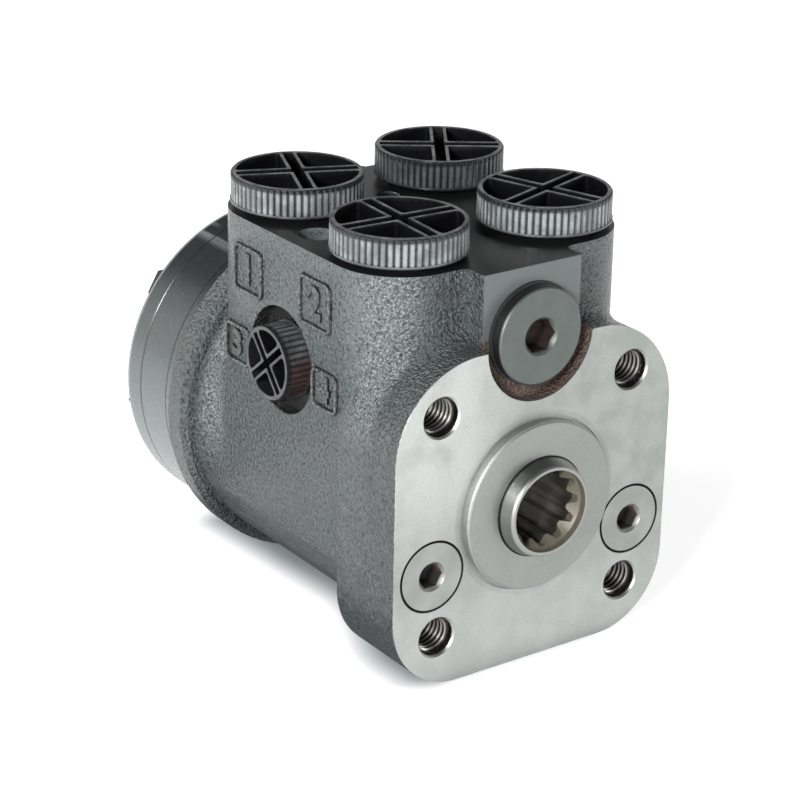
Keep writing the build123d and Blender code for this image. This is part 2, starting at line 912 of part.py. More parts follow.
def make_relief_plug():
    """The large hex socket plug and its bonded washer."""
    head = turned(
        [
            (0, 0),
            (plug_head_radius - plug_chamfer, 0),
            (plug_head_radius, plug_chamfer),
            (plug_head_radius, plug_head_rear),
            (plug_shank_radius, plug_head_rear),
            (plug_shank_radius, plug_head_rear + plug_shank_length),
            (0, plug_head_rear + plug_shank_length),
        ]
    )
    mouth = plug_hex_mouth_radius
    head = head - cone_y(mouth, mouth - 1, 0, 1)
    head = Pos(0, 0, relief_z) * (head - hex_y(plug_hex_flats, -1, plug_hex_depth))
    washer = ring_y(
        plug_washer_radius, plug_bore_radius, plug_head_rear, plug_recess_floor, 0, relief_z
    )
    return head, washer


def make_relief_valve():
    """Seat, poppet and spring of the relief valve."""
    seat_rear = relief_seat_front + relief_seat_length
    seat = ring_y(
        relief_bore_radius - close_gap, relief_seat_hole, relief_seat_front, seat_rear, 0, relief_z
    )
    guide = relief_bore_radius - running_gap
    cone_base = relief_seat_hole - seat_gap
    tip = cone_base - 1
    skirt_start = seat_rear + poppet_guide_radius - cone_base
    skirt_end = skirt_start + poppet_stem_length
    poppet = cone_y(tip, poppet_guide_radius, seat_rear - 1, skirt_start)
    poppet = poppet + along_y(guide, skirt_start, skirt_end)
    for side in (-1, 1):
        for axis_x, axis_z in ((side, 0), (0, side)):
            flat = poppet_guide_radius + guide
            cut = block((-guide, guide), (skirt_start - 1, skirt_end + 1), (-guide, guide))
            poppet = poppet - Pos(axis_x * flat, 0, axis_z * flat) * cut
    poppet = Pos(0, 0, relief_z) * poppet
    spring = coil_spring(
        relief_spring_radius,
        relief_spring_wire,
        skirt_end + free_gap,
        relief_bore_end - seat_gap,
        relief_spring_turns,
        0,
        relief_z,
    )
    return seat, poppet, spring


def make_suction_valve(side):
    """Flush plug, spring and ball of one suction valve."""
    x = side * suction_x
    plug = along_y(suction_plug_radius, 0, suction_plug_length, x, suction_z)
    mouth = suction_hex_mouth_radius
    plug = plug - cone_y(mouth, mouth - 1, 0, 1, x, suction_z)
    plug = plug - hex_y(suction_hex_flats, -1, suction_hex_depth, x, suction_z)
    reach = math.sqrt(suction_ball_radius**2 - suction_seat_hole**2)
    ball_y = suction_seat_y - reach - seat_gap
    ball = Pos(x, ball_y, suction_z) * Sphere(suction_ball_radius)
    touch = math.sqrt(suction_ball_radius**2 - suction_spring_radius**2)
    spring = coil_spring(
        suction_spring_radius,
        suction_spring_wire,
        suction_plug_length + seat_gap,
        ball_y - touch - free_gap,
        suction_spring_turns,
        x,
        suction_z,
    )
    return plug, spring, ball


def make_check_valve():
    """Bushing, ball and ball stop under the pressure port."""
    x, y = port_half_spacing, port_front_y
    bottom = port_floor - check_bushing_length
    bushing = along_z(check_bore_radius, bottom, port_floor, x, y)
    bushing = bushing - along_z(check_bushing_hole, bottom - 1, port_floor + 1, x, y)
    hexagon = extrude(
        RegularPolygon(check_bushing_flats / 2, 6, major_radius=False), check_bushing_hex_depth + 1
    )
    bushing = bushing - Pos(x, y, port_floor - check_bushing_hex_depth) * hexagon
    reach = math.sqrt(check_ball_radius**2 - check_bushing_hole**2)
    ball_z = bottom - reach - seat_gap - check_travel
    ball = Pos(x, y, ball_z) * Sphere(check_ball_radius)
    stop_z = ball_z - check_ball_radius - seat_gap - ball_stop_radius
    stop = along_x(ball_stop_radius, x - check_bore_radius + 1, x + check_bore_radius - 1, y, stop_z)
    return bushing, ball, stop


def fluted_disc(radius, flutes, depth, start, end):
    """A disc along Z with rounded ribs all round."""
    edges = []
    low = radius - depth
    step = 2 * math.pi / flutes
    for k in range(flutes):
        a, b, c = k * step, (k + 0.5) * step, (k + 1) * step
        edges.append(
            ThreePointArc(
                (low * math.cos(a), low * math.sin(a)),
                (radius * math.cos(b), radius * math.sin(b)),
                (low * math.cos(c), low * math.sin(c)),
            )
        )
    return Pos(0, 0, start) * extrude(make_face(edges), end - start)


def make_cap(radius, foot, rim, height, flutes, depth, rib, channel, shank, shank_length):
    """A ribbed plastic cap with a threaded shank, its foot at z=0 and its top at z=height."""
    body = fluted_disc(radius, flutes, depth, cap_foot_height / 2, height - cap_rim_height / 2)
    body = body + Cone(
        foot - cap_foot_height / 2,
        foot,
        cap_foot_height / 2,
        align=(Align.CENTER, Align.CENTER, Align.MIN),
    )
    body = body + along_z(foot, cap_foot_height / 2, cap_foot_height, 0, 0)
    body = body + along_z(rim, height - cap_rim_height, height, 0, 0)
    inner = rim - cap_rim_wall
    inset = channel / 2 + rib
    quarter = Pos(inset + inner / 2, inset + inner / 2) * Rectangle(inner, inner)
    quarter = quarter & Circle(inner)
    quarter = fillet(quarter.vertices(), cap_corner)
    pocket = Pos(0, 0, cap_floor) * extrude(quarter, height)
    arm = Rectangle(2 * inner, channel) & Circle(inner)
    slot = Pos(0, 0, cap_floor) * extrude(arm, height)
    for k in range(4):
        body = body - Rot(0, 0, 90 * k) * pocket
    body = body - slot - Rot(0, 0, 90) * slot
    return body + make_cap_shank(shank, shank_length)


def make_cap_shank(radius, length):
    """A hollow shank with thread rings, hanging below z=0."""
    crest = radius
    root = radius - cap_thread_depth
    points = [(root - cap_shank_wall, 0.5), (root, 0.5), (root, -cap_thread_pitch)]
    rings = int((length - 2 * cap_thread_pitch) / cap_thread_pitch)
    for k in range(rings):
        top = -cap_thread_pitch * (k + 1)
        points.append((crest, top - 0.4 * cap_thread_pitch))
        points.append((crest, top - 0.6 * cap_thread_pitch))
        points.append((root, top - cap_thread_pitch))
    points.append((root, -length))
    points.append((root - cap_shank_wall, -length))
    outline = Polyline(*[(r, 0, z) for r, z in points], close=True)
    return revolve(make_face(outline), axis=Axis.Z)


def port_places():
    """Cap name, x and y of the four top ports."""
    return [
        ("port_cap_front_left", -port_half_spacing, port_front_y),
        ("port_cap_front_right", port_half_spacing, port_front_y),
        ("port_cap_rear_left", -port_half_spacing, port_rear_y),
        ("port_cap_rear_right", port_half_spacing, port_rear_y),
    ]


def make_port_caps():
    """The four top caps and their sealing rings."""
    cap = make_cap(
        cap_radius,
        cap_foot_radius,
        cap_rim_radius,
        cap_height,
        cap_flutes,
        cap_flute_depth,
        cap_rib,
        cap_channel,
        port_radius - 4 * seat_gap,
        cap_shank_length,
    )
    caps = {}
    seals = []
    for name, x, y in port_places():
        caps[name] = Pos(x, y, cap_base) * Rot(0, 0, cap_turns[name]) * cap
        seal = along_z(port_radius + cap_seal_width, block_top, cap_base, x, y)
        seals.append(seal - along_z(port_radius, block_top - 1, cap_base + 1, x, y))
    return caps, seals


def make_side_cap():
    """The load sensing port's cap and sealing ring."""
    cap = make_cap(
        side_cap_radius,
        side_cap_foot_radius,
        side_cap_rim_radius,
        side_cap_height,
        side_cap_flutes,
        side_cap_flute_depth,
        side_cap_rib,
        side_cap_channel,
        side_port_radius - 4 * seat_gap,
        side_cap_shank_length,
    )
    base = side_floor_x - side_cap_seal_thickness
    placed = Pos(base, side_port_y, side_port_z) * Rot(0, -90, 0) * Rot(0, 0, side_cap_turn) * cap
    outer = side_port_radius + side_cap_seal_width
    seal = along_x(outer, base, side_floor_x, side_port_y, side_port_z)
    seal = seal - along_x(side_port_radius, base - 1, side_floor_x + 1, side_port_y, side_port_z)
    return placed, seal


def make_gallery_plug():
    """The small plug that closes the gallery drilled from the top face."""
    top = block_top - gallery_plug_sink
    return along_z(
        gallery_plug_radius, top - gallery_plug_length, top, gallery_plug_x, gallery_plug_y
    )


def make_spacer():
    """The loose disc between drive shaft and end cover, in the rotor's bore."""
    rear = gear_rear - seat_gap
    return along_y(spacer_radius, rear - spacer_thickness, rear, orbit_x, orbit_z)


def make_parts():
    """All nodes by name; a list holds the separate solids of one node."""
    dust_seal, shaft_seal = make_front_seals()
    front_race, cage, needles, rear_race = make_bearing()
    cross_pin, leaf_springs, spring_ring = make_centring()
    bolts, washers = make_bolts()
    relief_plug, relief_washer = make_relief_plug()
    relief_seat, relief_poppet, relief_spring = make_relief_valve()
    left_plug, left_spring, left_ball = make_suction_valve(-1)
    right_plug, right_spring, right_ball = make_suction_valve(1)
    check_bushing, check_ball, ball_stop = make_check_valve()
    caps, cap_seals = make_port_caps()
    side_cap, side_seal = make_side_cap()
    seal_in = o_ring_section + seat_gap / 2
    parts = {
        "housing": make_housing(),
        "dust_seal": dust_seal,
        "shaft_seal": shaft_seal,
        "bearing_front_race": front_race,
        "bearing_cage": cage,
        "bearing_needles": needles,
        "bearing_rear_race": rear_race,
        "sleeve": make_sleeve(),
        "spool": make_spool(),
        "cross_pin": cross_pin,
        "leaf_springs": leaf_springs,
        "spring_ring": spring_ring,
        "drive_shaft": make_drive_shaft(),
        "spacer": make_spacer(),
        "rotor": make_rotor(),
        "gear_ring": make_gear_ring(),
        "distributor_plate": make_plate(),
        "end_cover": make_cover(),
        "cover_bolts": bolts,
        "bolt_washers": washers,
        "housing_o_ring": o_ring(o_ring_circle, o_ring_section, rear_face - seal_in),
        "plate_o_ring": o_ring(o_ring_circle, o_ring_section, plate_rear - seal_in),
        "cover_o_ring": o_ring(o_ring_circle, o_ring_section, gear_rear + seal_in),
        "relief_plug": relief_plug,
        "relief_plug_washer": relief_washer,
        "relief_seat": relief_seat,
        "relief_poppet": relief_poppet,
        "relief_spring": relief_spring,
        "suction_plugs": [left_plug, right_plug],
        "suction_spring_left": left_spring,
        "suction_spring_right": right_spring,
        "suction_ball_left": left_ball,
        "suction_ball_right": right_ball,
        "check_bushing": check_bushing,
        "check_ball": check_ball,
        "ball_stop": ball_stop,
        "port_cap_seals": cap_seals,
        "side_port_cap": side_cap,
        "side_cap_seal": side_seal,
        "gallery_plug": make_gallery_plug(),
    }
    parts.update(caps)
    return parts


def write_parts():
    """Write one STEP file for each node."""
    os.makedirs("parts", exist_ok=True)
    for name, shape in make_parts().items():
        whole = Compound(children=shape) if isinstance(shape, list) else shape
        export_step(whole, f"parts/{name}.step")


write_parts()
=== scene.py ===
import json
import math

import bmesh
import bpy
from mathutils import Matrix, Vector


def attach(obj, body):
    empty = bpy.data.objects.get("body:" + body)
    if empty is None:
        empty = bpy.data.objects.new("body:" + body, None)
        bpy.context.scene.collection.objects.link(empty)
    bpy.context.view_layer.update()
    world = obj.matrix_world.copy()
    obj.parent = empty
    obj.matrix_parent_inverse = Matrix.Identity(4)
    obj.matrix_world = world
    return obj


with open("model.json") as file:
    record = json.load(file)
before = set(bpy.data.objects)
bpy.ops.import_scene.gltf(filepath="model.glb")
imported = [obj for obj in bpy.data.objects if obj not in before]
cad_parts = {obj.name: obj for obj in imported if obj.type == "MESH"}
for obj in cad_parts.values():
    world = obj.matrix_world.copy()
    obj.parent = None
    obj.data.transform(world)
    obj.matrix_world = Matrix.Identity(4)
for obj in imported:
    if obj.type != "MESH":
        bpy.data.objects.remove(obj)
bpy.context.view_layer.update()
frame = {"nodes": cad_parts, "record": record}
nodes = frame["nodes"]

MM = 0.001

# Camera, in the part's frame, from the mounting face's hole square
CAMERA_AZIMUTH = -35.61
CAMERA_ELEVATION = 22.26
CAMERA_ROLL = 1.09
CAMERA_DISTANCE = 632.8 * MM
CAMERA_RIGHT = -33.29 * MM
CAMERA_UP = 25.35 * MM
SENSOR = 36.0
FOCAL_PIXELS = 2558.7
PICTURE_PIXELS = 800

# The unit stands on its front block's lower edge and its rear flange
FRONT_FOOT_Z = -42.6 * MM
REAR_FOOT_Y = 92.5 * MM
REAR_FOOT_Z = -46.8 * MM

# White walls up to a dark ceiling, as the height of a direction, and their levels
WALL_TOP = 0.14
CEILING_START = 0.4
CEILING_LEVEL = 0.06
WORLD_LIGHT = 0.6

# The floor: half its length in metres, its glow and its colours
FLOOR_HALF = 3.0
FLOOR_GLOW = 0.78
FLOOR_WHITE = (0.75, 0.75, 0.75)
FLOOR_SHADOW = (0.27, 0.3, 0.315)

# Lamps: name, place, target, size (metres) and power (watts)
LAMPS = (
    ("key", (-1.05, -0.62, 0.6), (0, 0.04, 0), (0.3, 0.3), 20.0),
    ("low", (-0.65, -0.85, 0.15), (0, 0.04, 0), (0.14, 0.14), 4.0),
    ("fill", (0.9, -0.8, 0.3), (0, 0.04, 0), (0.5, 0.4), 6.0),
    ("rim", (-0.8, 0.6, 0.5), (0, 0.05, 0), (0.4, 0.6), 6.0),
)

# The painted shadow on the floor under the unit, in millimetres, and how far it dims the glow;
# light that doesn't go to the camera meets a wider painted shadow
FRONT_FOOT_HALF = 23.0
REAR_FOOT_HALF = 9.0
FOOT_X = -5.0
FOOT_START = 8.0
FOOT_LENGTH = 112.0
FOOT_TAPER = (60.0, 15.0)
SHADOW_REACH = 17.0
MIRRORED_SPREAD = 24.0
SHADOW_DEPTH = 0.95

# Places on the housing, in millimetres
HOLE_HALF = 29.15
HOLE_RADIUS = 5.0
HOLE_DEPTH = 18.0
RECESS_Z = 43.4
RECESS_RADIUS = 16.0
PAD_FRONT = 4.0
PLUG_Z = 43.9
BLOCK_TOP = 61.0
BOSS_RADIUS = 22.2
SUCTION_X = 31.0
SUCTION_Z = -12.15
SUCTION_RADIUS = 9.1
SUCTION_SOCKET = 4.1
RELIEF_RADIUS = 12.56
HEX_RADIUS = 5.0
HEX_DEPTH = 7.0
FLANGE_HALF_WIDTH = 42.3
FLANGE_HALF_HEIGHT = 42.6
FLANGE_CORNER = 24.0
PORT_X = 22.25
PORT_FRONT_Y = 28.5
PORT_PITCH = 45.0
BLOCK_CORNER = 17.73
CAP_BASE = 62.1
CAP_RADIUS = 17.0
CAP_HEIGHT = 8.0
SIDE_PORT_Y = 53.5
SIDE_PORT_Z = 28.7
SPOT_RADIUS = 14.0
SIDE_CAP_BASE = 36.4
SIDE_CAP_RADIUS = 9.55
SIDE_CAP_HEIGHT = 8.0
WALL_X = 40.0
ACCESSORY_X = 31.0
ACCESSORY_Y = 51.0
ACCESSORY_RADIUS = 5.0
ACCESSORY_DEPTH = 11.0
COVER_JOINT = 117.7
COVER_BACK = 125.1
LOW_ZONE = (-8.0, -30.0)

# Places on the spool, in millimetres: nose, ends of the tooth lead, far ends of the teeth, bore
NOSE_Y = -6.0
LEAD_START = -4.7
LEAD_END = -1.9
TOOTH_END = 12.9
SPLINE_RADIUS = 10.9

# Thread ridges in the column holes, in millimetres
THREAD_START = 0.9
THREAD_END = 16.5
THREAD_PITCH = 1.5
THREAD_STEPS = 40
THREAD_ROOT_SINK = 0.08
THREAD_CREST_RADIUS = 4.25
THREAD_ROOT_HALF = 0.66
THREAD_CREST_HALF = 0.1

# Cast fillet between port block and flange, in millimetres and degrees
BLEND_RADIUS = 5.5
BLEND_START_X = 14.2
BLEND_END_ANGLE = 74.0
BLEND_FADE_ANGLE = 40.0
BLEND_STEPS = 24
BLEND_ARC = 10
BLEND_SINK = 0.2
SHARP_ANGLE = 0.6

# Marks on the left wall: digit, then its frame's ends along Y and Z, in millimetres
MARKS = (
    ("1", 62.4, 74.7, 42.0, 53.7),
    ("2", 31.6, 44.6, 42.3, 54.3),
    ("3", 68.4, 79.0, 21.7, 31.5),
    ("4", 28.6, 38.8, 22.3, 31.8),
)
MARK_FILL = 0.92
MARK_CORNER = 1.6
MARK_CORNER_STEPS = 6
MARK_BEAD_HALF = 0.7
MARK_BEAD_STEPS = 8
MARK_HEIGHT = 1.0
MARK_SINK = 0.15
MARK_BEVEL = 0.2
MARK_BOLD = 0.3


class Nodes:
    """A material's node tree with short calls for the few nodes used here."""

    def __init__(self, name, color, metallic=0.0, roughness=0.5):
        self.material = bpy.data.materials.new(name)
        self.material.use_nodes = True
        self.tree = self.material.node_tree
        self.shader = self.tree.nodes["Principled BSDF"]
        self.set("Base Color", (*color, 1.0))
        self.set("Metallic", metallic)
        self.set("Roughness", roughness)
        coords = self.tree.nodes.new("ShaderNodeTexCoord").outputs["Object"]
        scale = self.tree.nodes.new("ShaderNodeVectorMath")
        scale.operation = "SCALE"
        self.tree.links.new(coords, scale.inputs[0])
        scale.inputs["Scale"].default_value = 1 / MM
        self.place = scale.outputs[0]
        split = self.tree.nodes.new("ShaderNodeSeparateXYZ")
        self.tree.links.new(self.place, split.inputs[0])
        self.x, self.y, self.z = split.outputs

    def set(self, socket, value):
        """Set or link one socket of the main shader."""
        self.feed(self.shader.inputs[socket], value)

    def feed(self, socket, value):
        """A number or colour is set, an output is linked."""
        if isinstance(value, bpy.types.NodeSocket):
            self.tree.links.new(value, socket)
        else:
            socket.default_value = value

    def math(self, operation, a, b=0.0):
        """One arithmetic step."""
        node = self.tree.nodes.new("ShaderNodeMath")
        node.operation = operation
        self.feed(node.inputs[0], a)
        self.feed(node.inputs[1], b)
        return node.outputs[0]

    def fold(self, operation, values):
        """One operation carried on over two or more values."""
        result = values[0]
        for value in values[1:]:
            result = self.math(operation, result, value)
        return result

    def plus(self, *values):
        """Sum of the values."""
        return self.fold("ADD", values)

    def minus(self, *values):
        """The first value less the others."""
        return self.fold("SUBTRACT", values)

    def times(self, *values):
        """Product of the values."""
        return self.fold("MULTIPLY", values)

    def most(self, *values):
        """The largest of the values."""
        return self.fold("MAXIMUM", values)

    def distance(self, a, b):
        """Length of the line whose legs are a and b."""
        return self.math("SQRT", self.plus(self.times(a, a), self.times(b, b)))

    def radius(self, x=0.0, z=0.0):
        """Distance from an axis along Y through x and z."""
        return self.distance(self.minus(self.x, x), self.minus(self.z, z))

    def mirrored(self, value, place):
        """How far a value's size is past a place, the same on both sides of 0."""
        return self.minus(self.math("ABSOLUTE", value), place)

    def ramp(self, value, low, high):
        """0 before low, 1 past high, smooth between; low may be the larger."""
        node = self.tree.nodes.new("ShaderNodeMapRange")
        node.interpolation_type = "SMOOTHSTEP"
        self.feed(node.inputs["Value"], value)
        if low < high:
            bounds = (low, high, 0.0, 1.0)
        else:
            bounds = (high, low, 1.0, 0.0)
        for name, bound in zip(("From Min", "From Max", "To Min", "To Max"), bounds):
            node.inputs[name].default_value = bound
        return node.outputs["Result"]

    def zone(self, *spans):
        """Product of ramps, each given as value, low and high."""
        return self.times(*[self.ramp(*span) for span in spans])

    def noise(self, scale, detail=2.0, roughness=0.5, place=None):
        """Noise whose scale is in features per millimetre."""
        node = self.tree.nodes.new("ShaderNodeTexNoise")
        self.feed(node.inputs["Vector"], self.place if place is None else place)
        node.inputs["Scale"].default_value = scale
        node.inputs["Detail"].default_value = detail
        node.inputs["Roughness"].default_value = roughness
        return node.outputs["Fac"]

    def uneven(self, base, scale, spread):
        """A level raised by noise, at most by spread."""
        return self.plus(base, self.times(self.noise(scale, 3.0), spread))

    def mottle(self, scale, a, b):
        """Two colours mixed by noise."""
        return self.mix(self.noise(scale, 3.0), a, b)

    def stretch(self, sx, sy, sz):
        """The place scaled unevenly, for streaks."""
        node = self.tree.nodes.new("ShaderNodeVectorMath")
        node.operation = "MULTIPLY"
        self.feed(node.inputs[0], self.place)
        node.inputs[1].default_value = (sx, sy, sz)
        return node.outputs[0]

    def mix(self, factor, a, b):
        """Mix two colours."""
        node = self.tree.nodes.new("ShaderNodeMix")
        node.data_type = "RGBA"
        self.feed(node.inputs[0], factor)
        for socket, value in ((node.inputs[6], a), (node.inputs[7], b)):
            if isinstance(value, tuple):
                value = (*value, 1.0)
            self.feed(socket, value)
        return node.outputs[2]

    def blend(self, factor, a, b):
        """Mix two numbers."""
        node = self.tree.nodes.new("ShaderNodeMix")
        self.feed(node.inputs[0], factor)
        self.feed(node.inputs[2], a)
        self.feed(node.inputs[3], b)
        return node.outputs[0]

    def bump(self, height, distance, strength=1.0, normal=None):
        """Bump whose distance is in metres."""
        node = self.tree.nodes.new("ShaderNodeBump")
        self.feed(node.inputs["Height"], height)
        self.feed(node.inputs["Strength"], strength)
        node.inputs["Distance"].default_value = distance
        if normal is not None:
            self.feed(node.inputs["Normal"], normal)
        return node.outputs[0]


def camera_axes():
    """Right, up and back directions of the camera."""
    az, el, roll = (math.radians(a) for a in (CAMERA_AZIMUTH, CAMERA_ELEVATION, CAMERA_ROLL))
    back = Vector((math.sin(az) * math.cos(el), -math.cos(az) * math.cos(el), math.sin(el)))
    right = Vector((math.cos(az), math.sin(az), 0.0))
    up = back.cross(right)
    turned_right = math.cos(roll) * right + math.sin(roll) * up
    turned_up = -math.sin(roll) * right + math.cos(roll) * up
    return turned_right, turned_up, back


def add_camera():
    """The photograph's viewpoint."""
    right, up, back = camera_axes()
    data = bpy.data.cameras.new("camera")
    data.sensor_width = SENSOR
    data.lens = SENSOR * FOCAL_PIXELS / PICTURE_PIXELS
    data.clip_start = 0.01
    camera = bpy.data.objects.new("camera", data)
    turn = Matrix((right, up, back)).transposed().to_4x4()
    turn.translation = right * CAMERA_RIGHT + up * CAMERA_UP + back * CAMERA_DISTANCE
    camera.matrix_world = turn
    bpy.context.scene.collection.objects.link(camera)
    bpy.context.scene.camera = camera


def seen_directly(tree):
    """1 where a ray comes from the camera or through gloss or glass."""
    path = tree.nodes.new("ShaderNodeLightPath")
    total = path.outputs["Is Camera Ray"]
    for name in ("Is Glossy Ray", "Is Transmission Ray"):
        add = tree.nodes.new("ShaderNodeMath")
        add.operation = "MAXIMUM"
        tree.links.new(total, add.inputs[0])
        tree.links.new(path.outputs[name], add.inputs[1])
        total = add.outputs[0]
    return total


def add_world():
    """White surroundings that light the object at a plain level."""
    world = bpy.data.worlds.new("studio")
    world.use_nodes = True
    bpy.context.scene.world = world
    tree = world.node_tree
    background = tree.nodes["Background"]
    coords = tree.nodes.new("ShaderNodeTexCoord")
    split = tree.nodes.new("ShaderNodeSeparateXYZ")
    tree.links.new(coords.outputs["Generated"], split.inputs[0])
    sky = tree.nodes.new("ShaderNodeMapRange")
    sky.interpolation_type = "SMOOTHSTEP"
    tree.links.new(split.outputs["Z"], sky.inputs["Value"])
    sky.inputs["From Min"].default_value = WALL_TOP
    sky.inputs["From Max"].default_value = CEILING_START
    sky.inputs["To Min"].default_value = 1.0
    sky.inputs["To Max"].default_value = CEILING_LEVEL
    tree.links.new(sky.outputs["Result"], background.inputs["Color"])
    level = tree.nodes.new("ShaderNodeMapRange")
    tree.links.new(seen_directly(tree), level.inputs["Value"])
    level.inputs["To Min"].default_value = WORLD_LIGHT
    level.inputs["To Max"].default_value = 1.0
    tree.links.new(level.outputs["Result"], background.inputs["Strength"])


def add_lamp(name, place, target, size, power):
    """A soft square lamp aimed at a point."""
    data = bpy.data.lights.new(name, "AREA")
    data.shape = "RECTANGLE"
    data.size, data.size_y = size
    data.energy = power
    lamp = bpy.data.objects.new(name, data)
    lamp.location = place
    lamp.rotation_euler = (Vector(target) - Vector(place)).to_track_quat("-Z", "Y").to_euler()
    bpy.context.scene.collection.objects.link(lamp)


def floor_material():
    """White that glows where it is seen, with a painted shadow under the unit."""
    m = Nodes("floor", FLOOR_WHITE, 0.0, 0.9)
    m.set("Specular IOR Level", 0.1)
    m.set("Emission Color", (1.0, 1.0, 1.0, 1.0))
    half_width = m.blend(m.ramp(m.y, *FOOT_TAPER), REAR_FOOT_HALF, FRONT_FOOT_HALF)
    direct = m.tree.nodes.new("ShaderNodeLightPath").outputs["Is Camera Ray"]
    half_width = m.plus(half_width, m.times(m.minus(1.0, direct), MIRRORED_SPREAD))
    past_x = m.most(m.minus(m.math("ABSOLUTE", m.minus(m.x, FOOT_X)), half_width), 0.0)
    half_length = FOOT_LENGTH / 2
    past_y = m.most(m.mirrored(m.minus(m.y, FOOT_START + half_length), half_length), 0.0)
    shade = m.ramp(m.distance(past_x, past_y), SHADOW_REACH, 0.0)
    m.set("Base Color", m.mix(shade, FLOOR_WHITE, FLOOR_SHADOW))
    glow = m.times(seen_directly(m.tree), FLOOR_GLOW)
    m.set("Emission Strength", m.times(glow, m.minus(1.0, m.times(shade, SHADOW_DEPTH))))
    return m.material


def add_floor():
    """A white floor that keeps the object's shadow."""
    slope = math.atan2(FRONT_FOOT_Z - REAR_FOOT_Z, REAR_FOOT_Y)
    mesh = bpy.data.meshes.new("floor")
    corners = [(x * FLOOR_HALF, y * FLOOR_HALF, 0) for x, y in ((-1, -1), (1, -1), (1, 1), (-1, 1))]
    mesh.from_pydata(corners, [], [(0, 1, 2, 3)])
    floor = bpy.data.objects.new("floor", mesh)
    floor.location = (0, 0, FRONT_FOOT_Z)
    floor.rotation_euler = (-slope, 0, 0)
    bpy.context.scene.collection.objects.link(floor)
    mesh.materials.append(floor_material())


# Colours of the housing's paint, its milled faces and its hollows
CAST_GRAY = (0.085, 0.095, 0.09)
PAINT_DARK = (0.07, 0.083, 0.081)
PAINT_LIGHT = (0.1, 0.117, 0.114)
# Painted shade in the pits of the cast grain
PAINT_PITS = (0.04, 0.048, 0.047)
# Painted light on the right side and high up
PAINT_RIGHT = (0.17, 0.192, 0.189)
PAINT_UPPER = (0.15, 0.172, 0.17)
# Painted shade behind the flange and low down
PAINT_SHADE = (0.028, 0.034, 0.034)
# Painted glints on the block's front left corner and on the collar before the rear flange
PAINT_GLINTS = (0.36, 0.395, 0.395)
# Painted highlight on the pebbles' tops and painted shade in the gaps between them
PEBBLE_TOP = (0.13, 0.15, 0.147)
PEBBLE_GAP = (0.008, 0.01, 0.01)
PAD_GRAY = (0.105, 0.12, 0.117)
SPOT_FACE = (0.014, 0.015, 0.015)
TOP_FACE = (0.01, 0.011, 0.011)
RUST_DARK = (0.04, 0.025, 0.02)
RUST_LIGHT = (0.15, 0.1, 0.083)
FACE_DARK = (0.29, 0.312, 0.296)
FACE_LIGHT = (0.35, 0.368, 0.355)
# Painted reflection on the milled face, to the upper left and low down
FACE_BRIGHT = (0.5, 0.52, 0.505)
FACE_SPECK = (0.19, 0.203, 0.19)
BOSS_GRAY = (0.25, 0.264, 0.246)
HOLE_WALL = (0.05, 0.042, 0.037)
# Painted shade in the gap round the suction plugs
PLUG_GAP_SHADE = (0.012, 0.012, 0.011)


def hole_distance(m):
    """Distance from the nearest column hole's axis."""
    return m.distance(m.mirrored(m.x, HOLE_HALF), m.mirrored(m.z, HOLE_HALF))


def suction_distance(m):
    """Distance from the nearest suction plug's axis."""
    return m.distance(m.mirrored(m.x, SUCTION_X), m.minus(m.z, SUCTION_Z))


def milled_face(m, axis_r, hole_r):
    """The mounting face with its ragged edge, the step round the boss and the holes' mouths."""
    jag = m.times(m.minus(m.noise(1.1, 3.0), 0.5), 0.9)
    face = m.ramp(m.plus(m.y, jag), 0.35, 0.15)
    round_boss = m.zone((axis_r, BOSS_RADIUS + 3.0, BOSS_RADIUS + 2.6), (m.y, 0.9, 0.7))
    mouth = m.zone((hole_r, HOLE_RADIUS + 1.2, HOLE_RADIUS + 1.0), (m.y, 0.6, 0.48))
    return m.most(face, round_boss, mouth)


def pad_face(m):
    """The milled pad that stands above the flange."""
    return m.zone(
        (m.y, PAD_FRONT + 0.3, PAD_FRONT + 0.15),
        (m.y, PAD_FRONT - 0.4, PAD_FRONT - 0.2),
        (m.z, FLANGE_HALF_HEIGHT + 0.8, FLANGE_HALF_HEIGHT + 2.4),
    )


def gallery_well(m):
    """The wells in the top face."""
    well_r = m.distance(m.mirrored(m.x, ACCESSORY_X), m.minus(m.y, ACCESSORY_Y))
    floor_z = BLOCK_TOP - ACCESSORY_DEPTH
    return m.zone(
        (well_r, ACCESSORY_RADIUS + 0.1, ACCESSORY_RADIUS + 0.03),
        (m.z, floor_z, floor_z + 0.5),
    )


def relief_recess(m, pad):
    """The rusty hollow round the relief plug, without the pad."""
    recess = m.zone(
        (m.radius(0.0, RECESS_Z), RECESS_RADIUS + 0.1, RECESS_RADIUS + 0.02),
        (m.y, 0.1, 0.4),
        (m.y, PAD_FRONT + 0.06, PAD_FRONT + 0.02),
    )
    return m.times(recess, m.minus(1.0, pad))


